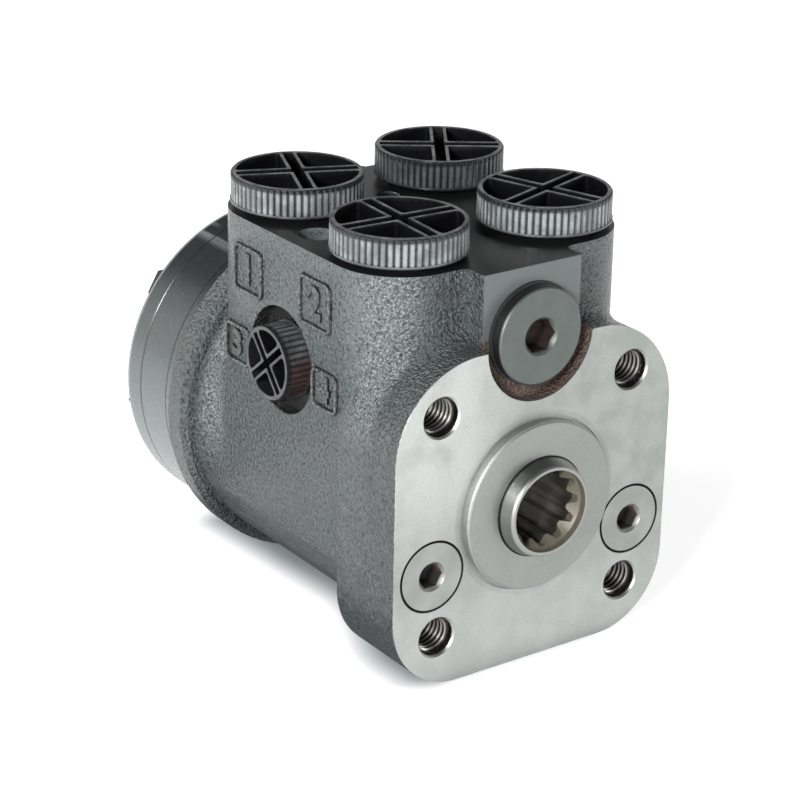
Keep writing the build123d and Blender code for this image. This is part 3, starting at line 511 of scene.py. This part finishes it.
def paint_color(m, grain, pad, top):
    """Paint with painted light to the right and high up, painted shade behind the flange and low down,
    painted glints at two edges, and painted highlight and shade on its pebbles and pits.
    """
    pebble = m.noise(1.1, 2.0, 0.6)
    glint = m.noise(1.9, 2.0, 0.5)
    paint = m.mix(m.noise(0.1, 2.0), PAINT_DARK, PAINT_LIGHT)
    # Painted shade in the pits of the cast grain
    paint = m.mix(m.ramp(grain, 0.5, 0.3), paint, PAINT_PITS)
    # Painted light on the right side and high up
    paint = m.mix(m.times(m.ramp(m.x, 5.0, 20.0), 0.7), paint, PAINT_RIGHT)
    paint = m.mix(m.times(m.ramp(m.z, 25.0, 50.0), 0.45), paint, PAINT_UPPER)
    # Painted shade behind the flange and low down
    shoulder = m.plus(0.3, m.times(m.ramp(m.z, 24.0, 34.0), 0.2))
    behind = m.times(m.ramp(m.y, 16.0, 10.0), shoulder)
    low = m.times(m.ramp(m.z, *LOW_ZONE), 0.8)
    paint = m.mix(m.most(behind, low), paint, PAINT_SHADE)
    # Painted glints on two edges: the block's front left corner and the collar before the rear flange
    corner = m.zone((m.x, -20.0, -30.0), (m.y, 26.0, 17.0), (m.y, 10.0, 13.0), (m.z, 14.0, 34.0))
    collar = m.zone((m.y, 80.0, 84.0), (m.y, 91.0, 87.0), (m.x, -30.0, -38.0), (m.z, -14.0, 4.0))
    painted_glints = m.times(m.most(corner, collar), m.ramp(glint, 0.4, 0.7), 0.85)
    paint = m.mix(painted_glints, paint, PAINT_GLINTS)
    # Painted highlight on the pebbles' tops and painted shade in the gaps between them
    paint = m.mix(m.times(m.ramp(pebble, 0.52, 0.7), 0.5), paint, PEBBLE_TOP)
    paint = m.mix(m.times(m.ramp(pebble, 0.48, 0.3), 0.75), paint, PEBBLE_GAP)
    paint = m.mix(pad, paint, PAD_GRAY)
    spot_r = m.distance(m.minus(m.y, SIDE_PORT_Y), m.minus(m.z, SIDE_PORT_Z))
    spot = m.zone(
        (spot_r, SPOT_RADIUS + 0.1, SPOT_RADIUS + 0.02),
        (m.x, 0.3 - WALL_X, 0.6 - WALL_X),
        (m.x, -20.0, -25.0),
    )
    paint = m.mix(spot, paint, SPOT_FACE)
    return m.mix(top, paint, TOP_FACE)


def milled_color(m, axis_r):
    """Clouded bright metal with painted reflection lighter to the upper left and low down, darker on
    the boss.
    """
    # Painted reflection, lighter to the upper left and low down
    lit = m.zone((m.x, 0.0, -26.0), (m.z, -14.0, 18.0))
    cloud = m.mix(m.ramp(m.noise(0.12, 3.0), 0.35, 0.65), FACE_DARK, FACE_LIGHT)
    cloud = m.mix(m.times(lit, m.ramp(m.noise(0.08, 3.0), 0.2, 0.55)), cloud, FACE_BRIGHT)
    cloud = m.mix(m.times(m.ramp(m.z, *LOW_ZONE), 0.35), cloud, FACE_BRIGHT)
    boss = m.ramp(axis_r, BOSS_RADIUS - 0.1, BOSS_RADIUS - 0.3)
    cloud = m.mix(m.times(boss, 0.75), cloud, BOSS_GRAY)
    speck = m.ramp(m.noise(2.2, 3.0), 0.5, 0.75)
    return m.mix(m.times(speck, 0.4), cloud, FACE_SPECK)


def cast_material():
    """Dark grey-green paint over rough casting, with bright milled faces and a brown recess."""
    m = Nodes("cast_paint", CAST_GRAY, 0.0, 0.36)
    grain = m.noise(1.25, 2.0, 0.45)
    fine = m.noise(2.6, 2.0)
    axis_r = m.radius()
    hole_r = hole_distance(m)
    face = milled_face(m, axis_r, hole_r)
    pad = pad_face(m)
    top = m.ramp(m.z, BLOCK_TOP - 0.2, BLOCK_TOP - 0.05)
    smooth = m.most(face, pad, top, gallery_well(m))
    recess = relief_recess(m, pad)
    in_hole = m.zone(
        (hole_r, HOLE_RADIUS + 0.15, HOLE_RADIUS + 0.02),
        (m.y, 0.3, 0.7),
        (m.y, HOLE_DEPTH + 2.0, HOLE_DEPTH + 1.0),
    )
    # Painted shade in the gap round each suction plug
    plug_gap_shade = m.zone(
        (suction_distance(m), SUCTION_RADIUS + 0.5, SUCTION_RADIUS + 0.38),
        (m.y, 1.0, 0.5),
    )
    rust = m.mix(m.noise(0.9, 4.0), RUST_DARK, RUST_LIGHT)
    color = m.mix(recess, paint_color(m, grain, pad, top), rust)
    color = m.mix(face, color, milled_color(m, axis_r))
    color = m.mix(in_hole, color, HOLE_WALL)
    m.set("Base Color", m.mix(m.times(plug_gap_shade, 0.95), color, PLUG_GAP_SHADE))
    metal = m.most(face, m.times(in_hole, 0.9))
    m.set("Metallic", m.times(metal, m.minus(1.0, plug_gap_shade)))
    rough = m.blend(face, m.blend(smooth, 0.19, 0.3), m.plus(0.32, m.times(fine, 0.12)))
    rough = m.blend(recess, rough, 0.6)
    rough = m.blend(m.times(m.ramp(m.z, -22.0, -27.0), m.minus(1.0, face)), rough, 0.5)
    step = m.zone(
        (axis_r, BOSS_RADIUS + 2.6, BOSS_RADIUS + 2.0),
        (axis_r, BOSS_RADIUS - 1.0, BOSS_RADIUS - 0.4),
    )
    m.set("Roughness", m.blend(step, rough, 0.62))
    coarser = m.plus(1.0, m.times(m.ramp(m.z, -18.0, -30.0), 2.0))
    rough_height = m.times(m.plus(grain, m.times(fine, 0.25)), coarser)
    cast_bump = m.bump(rough_height, 1.8 * MM, m.blend(smooth, 0.95, 0.0))
    mill = m.noise(1.0, 3.0, 0.6, m.stretch(3.0, 1.0, 3.0))
    m.set("Normal", m.bump(mill, 0.04 * MM, m.blend(face, 0.05, 0.6), cast_bump))
    return m.material


# Colours of the turned steel pieces
SPOOL_STEEL = (0.62, 0.62, 0.6)
HARD_STEEL = (0.55, 0.55, 0.54)
SPRING_STEEL = (0.35, 0.35, 0.36)
TAN_DARK = (0.1, 0.09, 0.068)
TAN_LIGHT = (0.17, 0.155, 0.122)
FLANK_DARK = (0.012, 0.011, 0.01)
FLANK_LIGHT = (0.05, 0.046, 0.039)
# Painted light on the tooth flanks deep in the bore
FLANK_DEEP_LIT = (0.2, 0.19, 0.17)
OLIVE_DARK = (0.1, 0.09, 0.065)
OLIVE_LIGHT = (0.2, 0.18, 0.135)
FAR_END = (0.09, 0.093, 0.096)
SHANK_DARK = (0.2, 0.21, 0.2)
SHANK_LIGHT = (0.28, 0.29, 0.275)
NOSE_RIM = (0.3, 0.305, 0.29)
SUCTION_STEEL = (0.5, 0.51, 0.49)
SUCTION_DARK = (0.27, 0.285, 0.267)
SUCTION_LIGHT = (0.33, 0.345, 0.327)
# Painted shade on the suction plugs' edges, along the gap
SUCTION_EDGE_SHADE = (0.015, 0.015, 0.014)
SOCKET_MOUTH = (0.22, 0.22, 0.21)
SOCKET_SHADE = (0.02, 0.018, 0.017)
SOCKET_BROWN = (0.1, 0.075, 0.068)
THREAD_STEEL = (0.2, 0.18, 0.16)
# Painted highlight on the thread crests, darker deeper in the hole as painted shade, and painted shade
# in the roots
THREAD_NEAR = (0.3, 0.285, 0.27)
THREAD_FAR = (0.16, 0.148, 0.135)
THREAD_ROOT_SHADE = (0.025, 0.022, 0.02)


def steel_material(name, color, roughness, grooves=0.6):
    """Turned steel with faint rings round the spool axis."""
    m = Nodes(name, color, 1.0, roughness)
    rings = m.noise(1.0, 2.0, 0.5, m.stretch(0.05, 4.0, 0.05))
    m.set("Roughness", m.uneven(roughness - 0.08, 0.4, 0.16))
    m.set("Normal", m.bump(rings, 0.01 * MM, grooves))
    return m


def spool_material():
    """Bright turned nose, tan tooth ends, dark flanks with painted light deeper in the bore, and grey
    far end.
    """
    m = steel_material("machined_steel", SPOOL_STEEL, 0.34)
    inside = m.zone(
        (m.radius(), SPLINE_RADIUS + 0.05, SPLINE_RADIUS - 0.05),
        (m.y, NOSE_Y - 0.4, NOSE_Y - 0.1),
    )
    lead = m.zone((m.y, LEAD_START - 0.05, LEAD_START + 0.05), (m.y, LEAD_END + 0.05, LEAD_END - 0.05))
    deep = m.zone((m.y, LEAD_END - 0.05, LEAD_END + 0.1), (m.y, TOOTH_END + 0.05, TOOTH_END - 0.05))
    tan = m.mottle(0.5, TAN_DARK, TAN_LIGHT)
    flank = m.mottle(0.35, FLANK_DARK, FLANK_LIGHT)
    # Painted light on the flanks deeper in the bore
    flank = m.mix(m.ramp(m.y, 0.0, 7.0), flank, FLANK_DEEP_LIT)
    olive = m.mottle(0.5, OLIVE_DARK, OLIVE_LIGHT)
    far = m.mix(m.ramp(m.y, TOOTH_END - 0.2, TOOTH_END), olive, FAR_END)
    wall = m.mix(deep, m.mix(lead, far, tan), flank)
    shank = m.mix(m.noise(0.2), SHANK_DARK, SHANK_LIGHT)
    nose = m.mix(m.ramp(m.y, NOSE_Y, NOSE_Y - 0.3), shank, NOSE_RIM)
    m.set("Base Color", m.mix(inside, nose, wall))
    m.set("Metallic", m.blend(inside, 1.0, 0.35))
    m.set("Roughness", m.uneven(m.blend(inside, 0.34, 0.4), 0.4, 0.16))
    return m.material


def suction_plug_material():
    """Bright flush plugs with dark brown sockets and painted shade round their edges."""
    m = steel_material("plug_steel", SUCTION_STEEL, 0.34, 0.3)
    r = suction_distance(m)
    mouth = m.zone((r, SUCTION_SOCKET + 0.1, SUCTION_SOCKET - 0.1), (m.y, 0.08, 0.2))
    socket = m.times(mouth, m.ramp(m.y, 0.5, 0.9))
    gray = m.mix(m.ramp(m.noise(0.09, 2.0), 0.35, 0.65), SUCTION_DARK, SUCTION_LIGHT)
    # Painted shade on the plug's edge, along the gap
    gray = m.mix(m.ramp(r, SUCTION_RADIUS - 0.3, SUCTION_RADIUS - 0.2), gray, SUCTION_EDGE_SHADE)
    brown = m.mix(m.ramp(m.minus(m.z, SUCTION_Z), -1.0, 2.0), SOCKET_SHADE, SOCKET_BROWN)
    m.set("Base Color", m.mix(socket, m.mix(mouth, gray, SOCKET_MOUTH), brown))
    m.set("Metallic", m.minus(1.0, socket))
    m.set("Roughness", m.blend(mouth, m.uneven(0.3, 0.4, 0.12), 0.55))
    return m.material


def thread_material():
    """Dark threads with painted highlights on their crests that fade as painted shade deeper in the
    hole, and painted shade in their roots.
    """
    m = Nodes("thread_steel", THREAD_STEEL, 0.9, 0.3)
    # Painted highlight on the crests and painted shade in the roots
    crest = m.ramp(hole_distance(m), HOLE_RADIUS - 0.25, THREAD_CREST_RADIUS + 0.15)
    bright = m.mix(m.ramp(m.y, 1.0, 9.0), THREAD_NEAR, THREAD_FAR)
    m.set("Base Color", m.mix(crest, THREAD_ROOT_SHADE, bright))
    m.set("Roughness", m.uneven(0.22, 1.0, 0.2))
    return m.material


# Colours of the marks, the relief plug, the gear set, the caps and the seals
MARK_PAINT = (0.07, 0.08, 0.077)
MARK_DARK = (0.03, 0.035, 0.034)
MARK_LIGHT = (0.15, 0.172, 0.168)
# Painted shade in the creases round the marks
MARK_CREASE_SHADE = (0.008, 0.009, 0.009)
PHOSPHATE = (0.17, 0.188, 0.183)
RELIEF_DARK = (0.08, 0.094, 0.09)
RELIEF_LIGHT = (0.112, 0.128, 0.124)
# Painted shade on the relief plug's edge
RELIEF_EDGE_SHADE = (0.02, 0.021, 0.021)
HEX_DARK = (0.015, 0.011, 0.01)
HEX_BROWN = (0.07, 0.05, 0.045)
GEAR_PAINT = (0.03, 0.034, 0.033)
# Painted light and shade on the gear set by the angle round it and on its right side, with a painted
# highlight streak and painted shade underneath
GEAR_TOP = (0.022, 0.025, 0.025)
GEAR_SHOULDER = (0.055, 0.063, 0.062)
GEAR_SIDE = (0.165, 0.19, 0.187)
GEAR_UNDERSIDE_SHADE = (0.03, 0.034, 0.034)
GEAR_HIGHLIGHT_STREAK = (0.17, 0.19, 0.19)
GEAR_RIGHT = (0.1, 0.115, 0.112)
COVER_SEAM = (0.012, 0.014, 0.014)
# Painted highlight on the cover's back edge
COVER_LIP_HIGHLIGHT = (0.3, 0.33, 0.325)
CAP_BLACK = (0.012, 0.013, 0.015)
# Painted shade in the caps' pockets; painted highlights on their rim edges and ribs
CAP_POCKET_SHADE = (0.004, 0.004, 0.005)
CAP_EDGE = (0.15, 0.158, 0.158)
CAP_RIB_HIGHLIGHT = (0.27, 0.295, 0.295)
SIDE_CAP_EDGE = (0.06, 0.06, 0.06)
SIDE_RIB_LOW = (0.06, 0.034, 0.031)
SIDE_RIB_HIGH = (0.11, 0.115, 0.115)
RUBBER = (0.015, 0.015, 0.016)


def mark_material():
    """Paint of the cast marks, black with painted shade in their corners and speckled on top."""
    m = Nodes("mark_paint", MARK_PAINT, 0.0, 0.26)
    height = m.minus(m.times(m.x, -1.0), WALL_X)
    top = m.mix(m.ramp(m.noise(1.3, 3.0), 0.4, 0.62), MARK_DARK, MARK_LIGHT)
    # Painted shade where the marks meet the wall
    m.set("Base Color", m.mix(m.ramp(height, 0.45, 0.9), MARK_CREASE_SHADE, top))
    m.set("Normal", m.bump(m.noise(1.25, 2.0), 0.8 * MM))
    return m.material


def phosphate_material():
    """Grey phosphated steel, smooth but not bright, with a brown socket and painted shade on its edge.
    """
    m = Nodes("phosphated_steel", PHOSPHATE, 0.5, 0.4)
    r = m.radius(0.0, PLUG_Z)
    socket = m.zone(
        (r, HEX_RADIUS + 0.2, HEX_RADIUS),
        (m.y, 0.3, 1.0),
        (m.y, HEX_DEPTH + 1.0, HEX_DEPTH),
    )
    gray = m.mottle(0.25, RELIEF_DARK, RELIEF_LIGHT)
    # Painted shade on the plug's edge
    gray = m.mix(m.ramp(r, RELIEF_RADIUS - 0.25, RELIEF_RADIUS - 0.1), gray, RELIEF_EDGE_SHADE)
    m.set("Base Color", m.mix(socket, gray, m.mottle(0.6, HEX_DARK, HEX_BROWN)))
    m.set("Roughness", m.uneven(0.32, 1.5, 0.14))
    m.set("Normal", m.bump(m.noise(3.0, 2.0), 0.01 * MM, 0.4))
    return m.material


def dark_paint_material():
    """Smooth dark semi-gloss paint of the gear set, with painted light and shade by the angle above
    its left side and on its right side, a painted highlight streak, a dark seam and a painted
    highlight on the cover's back edge.
    """
    m = Nodes("dark_paint", GEAR_PAINT, 0.0, 0.24)
    angle = m.math("ARCTAN2", m.z, m.times(m.x, -1.0))
    streak = m.noise(0.6, 3.0, 0.5, m.stretch(0.4, 0.04, 1.0))
    # Painted light and shade by the angle round the gear set
    gray = m.mix(m.ramp(angle, 0.86, 0.6), GEAR_TOP, GEAR_SHOULDER)
    gray = m.mix(m.ramp(angle, 0.6, -0.5), gray, GEAR_SIDE)
    gray = m.mix(m.zone((angle, -0.6, -0.95), (m.y, 118.0, 106.0)), gray, GEAR_UNDERSIDE_SHADE)
    gray = m.mix(m.zone((angle, 1.02, 1.1), (streak, 0.42, 0.6)), gray, GEAR_HIGHLIGHT_STREAK)
    gray = m.mix(m.ramp(m.x, -6.0, 12.0), gray, GEAR_RIGHT)
    seam = m.zone(
        (m.y, COVER_JOINT - 0.45, COVER_JOINT - 0.25),
        (m.y, COVER_JOINT + 0.45, COVER_JOINT + 0.25),
    )
    gray = m.mix(m.times(seam, 0.85), gray, COVER_SEAM)
    # Painted highlight on the cover's back edge
    lip = m.times(m.ramp(m.y, COVER_BACK - 1.4, COVER_BACK - 1.0), 0.6)
    m.set("Base Color", m.mix(lip, gray, COVER_LIP_HIGHLIGHT))
    m.set("Roughness", m.uneven(0.2, 0.5, 0.14))
    m.set("Normal", m.bump(m.noise(0.7, 3.0), 0.03 * MM, 0.4))
    return m.material


def cap_material(name, side):
    """Glossy black moulded plastic with painted highlights on its ribs and rim edges, painted shade on
    one cap's ribs and in the pockets.
    """
    m = Nodes(name, CAP_BLACK, 0.0, 0.22)
    if side:
        across = m.minus(m.y, SIDE_PORT_Y)
        along = m.minus(m.z, SIDE_PORT_Z)
        height = m.minus(-SIDE_CAP_BASE, m.x)
        radius, top, edge = SIDE_CAP_RADIUS, SIDE_CAP_HEIGHT, SIDE_CAP_EDGE
        tint = m.mix(m.ramp(along, 1.0, 5.0), SIDE_RIB_LOW, SIDE_RIB_HIGH)
        shade = 0.0
    else:
        across = m.mirrored(m.x, PORT_X)
        along = m.mirrored(m.minus(m.y, PORT_FRONT_Y + PORT_PITCH / 2), PORT_PITCH / 2)
        height = m.minus(m.z, CAP_BASE)
        radius, top, edge = CAP_RADIUS, CAP_HEIGHT, CAP_EDGE
        tint = CAP_RIB_HIGHLIGHT
        # Painted shade on the rear right cap's ribs
        shade = m.zone((m.x, -4.0, 4.0), (m.y, 48.0, 56.0))
    r = m.distance(across, along)
    # Painted highlights on the rib crests
    line = m.plus(0.17, m.times(m.ramp(r, radius - 0.22, radius - 0.01), 0.83))
    band = m.zone((r, radius - 0.7, radius - 0.5), (height, 0.3, 1.6), (height, top - 0.9, top - 1.8))
    fleck = m.plus(0.5, m.times(m.ramp(m.noise(0.16, 3.0), 0.4, 0.6), 0.5))
    crest = m.times(line, band, fleck, m.minus(1.0, m.times(shade, 0.75)))
    # Painted highlight on the rim's top edge; painted shade in the pockets
    lip = m.zone((height, top - 0.12, top - 0.02), (m.noise(0.2, 3.0), 0.3, 0.7))
    pocket_shade = m.zone((r, radius - 1.0, radius - 1.3), (height, top - 0.2, top - 0.5))
    color = m.mix(lip, m.mix(crest, CAP_BLACK, tint), edge)
    m.set("Base Color", m.mix(pocket_shade, color, CAP_POCKET_SHADE))
    m.set("Roughness", m.uneven(0.2, 0.6, 0.16))
    m.set("Normal", m.bump(m.noise(1.2, 2.0), 0.02 * MM, 0.35))
    return m.material


def rubber_material():
    """Matte black rubber."""
    m = Nodes("seal_rubber", RUBBER, 0.0, 0.7)
    m.set("Normal", m.bump(m.noise(4.0, 2.0), 0.01 * MM, 0.5))
    return m.material


def dress(name, material):
    """Give one CAD node its material."""
    slots = nodes[name].data.materials
    slots.clear()
    slots.append(material)


def dress_nodes():
    """Give every CAD node the material of its slot, and two nodes one of their own."""
    by_slot = {
        "hard_steel": steel_material("hard_steel", HARD_STEEL, 0.22).material,
        "spring_steel": steel_material("spring_steel", SPRING_STEEL, 0.35).material,
        "cast_paint": cast_material(),
        "machined_steel": spool_material(),
        "phosphated_steel": phosphate_material(),
        "dark_paint": dark_paint_material(),
        "seal_rubber": rubber_material(),
        "cap_plastic": cap_material("cap_plastic", False),
    }
    for part in frame["record"]["subparts"]:
        dress(part["node"], by_slot[part["material_slot"]])
    dress("suction_plugs", suction_plug_material())
    dress("side_port_cap", cap_material("side_cap_plastic", True))
    return by_slot


def add_piece(name, points, faces, material, smooth=True):
    """A mesh piece on the housing from points in millimetres."""
    mesh = bpy.data.meshes.new(name)
    mesh.from_pydata([[c * MM for c in point] for point in points], [], faces)
    shape = bmesh.new()
    shape.from_mesh(mesh)
    bmesh.ops.recalc_face_normals(shape, faces=shape.faces)
    shape.to_mesh(mesh)
    shape.free()
    for face in mesh.polygons:
        face.use_smooth = smooth
    mesh.set_sharp_from_angle(angle=SHARP_ANGLE)
    mesh.materials.append(material)
    piece = bpy.data.objects.new(name, mesh)
    bpy.context.scene.collection.objects.link(piece)
    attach(piece, "housing")
    return piece


def tube_faces(sections, size, first=0, closed=False):
    """Faces between successive sections of size points each, with end caps unless closed."""
    faces = []
    last = sections if closed else sections - 1
    for i in range(last):
        a = first + i * size
        b = first + (i + 1) % sections * size
        for k in range(size):
            n = (k + 1) % size
            faces.append((a + k, a + n, b + n, b + k))
    if not closed:
        faces.append(tuple(range(first, first + size)))
        faces.append(tuple(range(first + (sections - 1) * size, first + sections * size)))
    return faces


def thread_points(x, z):
    """Sections of a right-hand thread ridge that runs into one column hole."""
    points = []
    steps = int((THREAD_END - THREAD_START) / THREAD_PITCH * THREAD_STEPS)
    root = HOLE_RADIUS + THREAD_ROOT_SINK
    for i in range(steps + 1):
        turn = 2 * math.pi * i / THREAD_STEPS
        y = THREAD_START + THREAD_PITCH * i / THREAD_STEPS
        fade = min(1.0, i / THREAD_STEPS, (steps - i) / THREAD_STEPS)
        crest = root - (root - THREAD_CREST_RADIUS) * max(fade, 0.05)
        profile = (
            (root, -THREAD_ROOT_HALF),
            (crest, -THREAD_CREST_HALF),
            (crest, THREAD_CREST_HALF),
            (root, THREAD_ROOT_HALF),
        )
        for radius, shift in profile:
            points.append((x + radius * math.sin(turn), y + shift, z + radius * math.cos(turn)))
    return points, steps + 1


def add_threads(material):
    """Thread ridges in the four column holes."""
    points = []
    faces = []
    for x in (-HOLE_HALF, HOLE_HALF):
        for z in (-HOLE_HALF, HOLE_HALF):
            ridge, sections = thread_points(x, z)
            faces += tube_faces(sections, 4, first=len(points))
            points += ridge
    add_piece("column_hole_threads", points, faces, material, smooth=False)


def flange_top(x, offset):
    """Height of the flange's upper outline moved out by offset, and the way back to it."""
    straight = FLANGE_HALF_WIDTH - FLANGE_CORNER
    centre_z = FLANGE_HALF_HEIGHT - FLANGE_CORNER
    if x <= straight:
        return FLANGE_HALF_HEIGHT + offset, Vector((0, 0, -1))
    reach = FLANGE_CORNER + offset
    z = centre_z + math.sqrt(reach**2 - (x - straight) ** 2)
    return z, -Vector((x - straight, 0, z - centre_z)).normalized()


def corner_blend_points():
    """Sections of the cast fillet where the right front corner of the port block meets the flange."""
    points = []
    starts = [(x, 0.0) for x in (BLEND_START_X, PORT_X - 2.0)]
    turns = [(PORT_X, BLEND_END_ANGLE * i / BLEND_STEPS) for i in range(BLEND_STEPS + 1)]
    for x, angle in starts + turns:
        swing = math.radians(angle)
        out = Vector((math.sin(swing), -math.cos(swing), 0.0))
        fade = min(1.0, (BLEND_END_ANGLE - angle) / BLEND_FADE_ANGLE)
        radius = BLEND_RADIUS * max(fade, 0.04)
        centre = Vector((x, PORT_FRONT_Y, 0.0)) + out * (BLOCK_CORNER + radius)
        centre.z, to_flange = flange_top(centre.x, radius)
        to_block = -out
        half = to_block.angle(to_flange) / 2
        middle = (to_block + to_flange).normalized()
        for k in range(BLEND_ARC + 1):
            way = to_block.slerp(to_flange, k / BLEND_ARC)
            points.append(centre + way * radius)
        points.append(centre + middle * (radius / math.cos(half) + BLEND_SINK))
    return points, len(starts) + len(turns)


def add_corner_blends(material):
    """The cast fillets between port block and flange, one on each side."""
    points, sections = corner_blend_points()
    faces = tube_faces(sections, BLEND_ARC + 2)
    add_piece("corner_blend_right", points, faces, material)
    mirrored = [(-point.x, point.y, point.z) for point in points]
    add_piece("corner_blend_left", mirrored, faces, material)


def wall_point(y, z, height):
    """A point on the left wall, raised out of it."""
    return (-(WALL_X + height), y, z)


def mark_frame(y0, y1, z0, z1):
    """Sections of a low rounded bead round one mark."""
    corners = (
        (y1 - MARK_CORNER, z1 - MARK_CORNER, 0.0),
        (y0 + MARK_CORNER, z1 - MARK_CORNER, 90.0),
        (y0 + MARK_CORNER, z0 + MARK_CORNER, 180.0),
        (y1 - MARK_CORNER, z0 + MARK_CORNER, 270.0),
    )
    points = []
    sections = 0
    for cy, cz, first in corners:
        for k in range(MARK_CORNER_STEPS + 1):
            turn = math.radians(first + 90.0 * k / MARK_CORNER_STEPS)
            ny, nz = math.cos(turn), math.sin(turn)
            sections += 1
            for j in range(MARK_BEAD_STEPS + 1):
                side = math.pi * j / MARK_BEAD_STEPS
                reach = MARK_CORNER + MARK_BEAD_HALF * math.cos(side)
                height = MARK_HEIGHT * math.sin(side) - MARK_SINK
                points.append(wall_point(cy + reach * ny, cz + reach * nz, height))
    return points, sections


def mark_digit(text, y, z, size):
    """A raised digit as a mesh, upright on the left wall."""
    curve = bpy.data.curves.new("digit", "FONT")
    curve.body = text
    curve.size = size * MM
    curve.align_x = "CENTER"
    curve.align_y = "CENTER"
    curve.extrude = MARK_HEIGHT / 2 * MM
    curve.bevel_depth = MARK_BEVEL * MM
    curve.bevel_resolution = 2
    curve.offset = MARK_BOLD * MM
    holder = bpy.data.objects.new("digit", curve)
    bpy.context.scene.collection.objects.link(holder)
    mesh = bpy.data.meshes.new_from_object(holder)
    bpy.data.objects.remove(holder)
    turn = Matrix(((0, 0, -1), (-1, 0, 0), (0, 1, 0))).to_4x4()
    turn.translation = Vector(wall_point(y, z, 0.0)) * MM
    mesh.transform(turn)
    return mesh


def add_marks(material):
    """Plain digits in low frames, cast on the left wall by the ports."""
    for text, y0, y1, z0, z1 in MARKS:
        points, sections = mark_frame(y0, y1, z0, z1)
        faces = tube_faces(sections, MARK_BEAD_STEPS + 1, closed=True)
        add_piece("mark_frame_" + text, points, faces, material)
        mesh = mark_digit(text, (y0 + y1) / 2, (z0 + z1) / 2, (z1 - z0) * MARK_FILL)
        mesh.materials.append(material)
        digit = bpy.data.objects.new("mark_digit_" + text, mesh)
        bpy.context.scene.collection.objects.link(digit)
        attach(digit, "housing")


materials = dress_nodes()
add_threads(thread_material())
add_corner_blends(materials["cast_paint"])
add_marks(mark_material())
add_camera()
add_world()
add_floor()
for lamp in LAMPS:
    add_lamp(*lamp)

bpy.context.scene.view_settings.view_transform = "Standard"
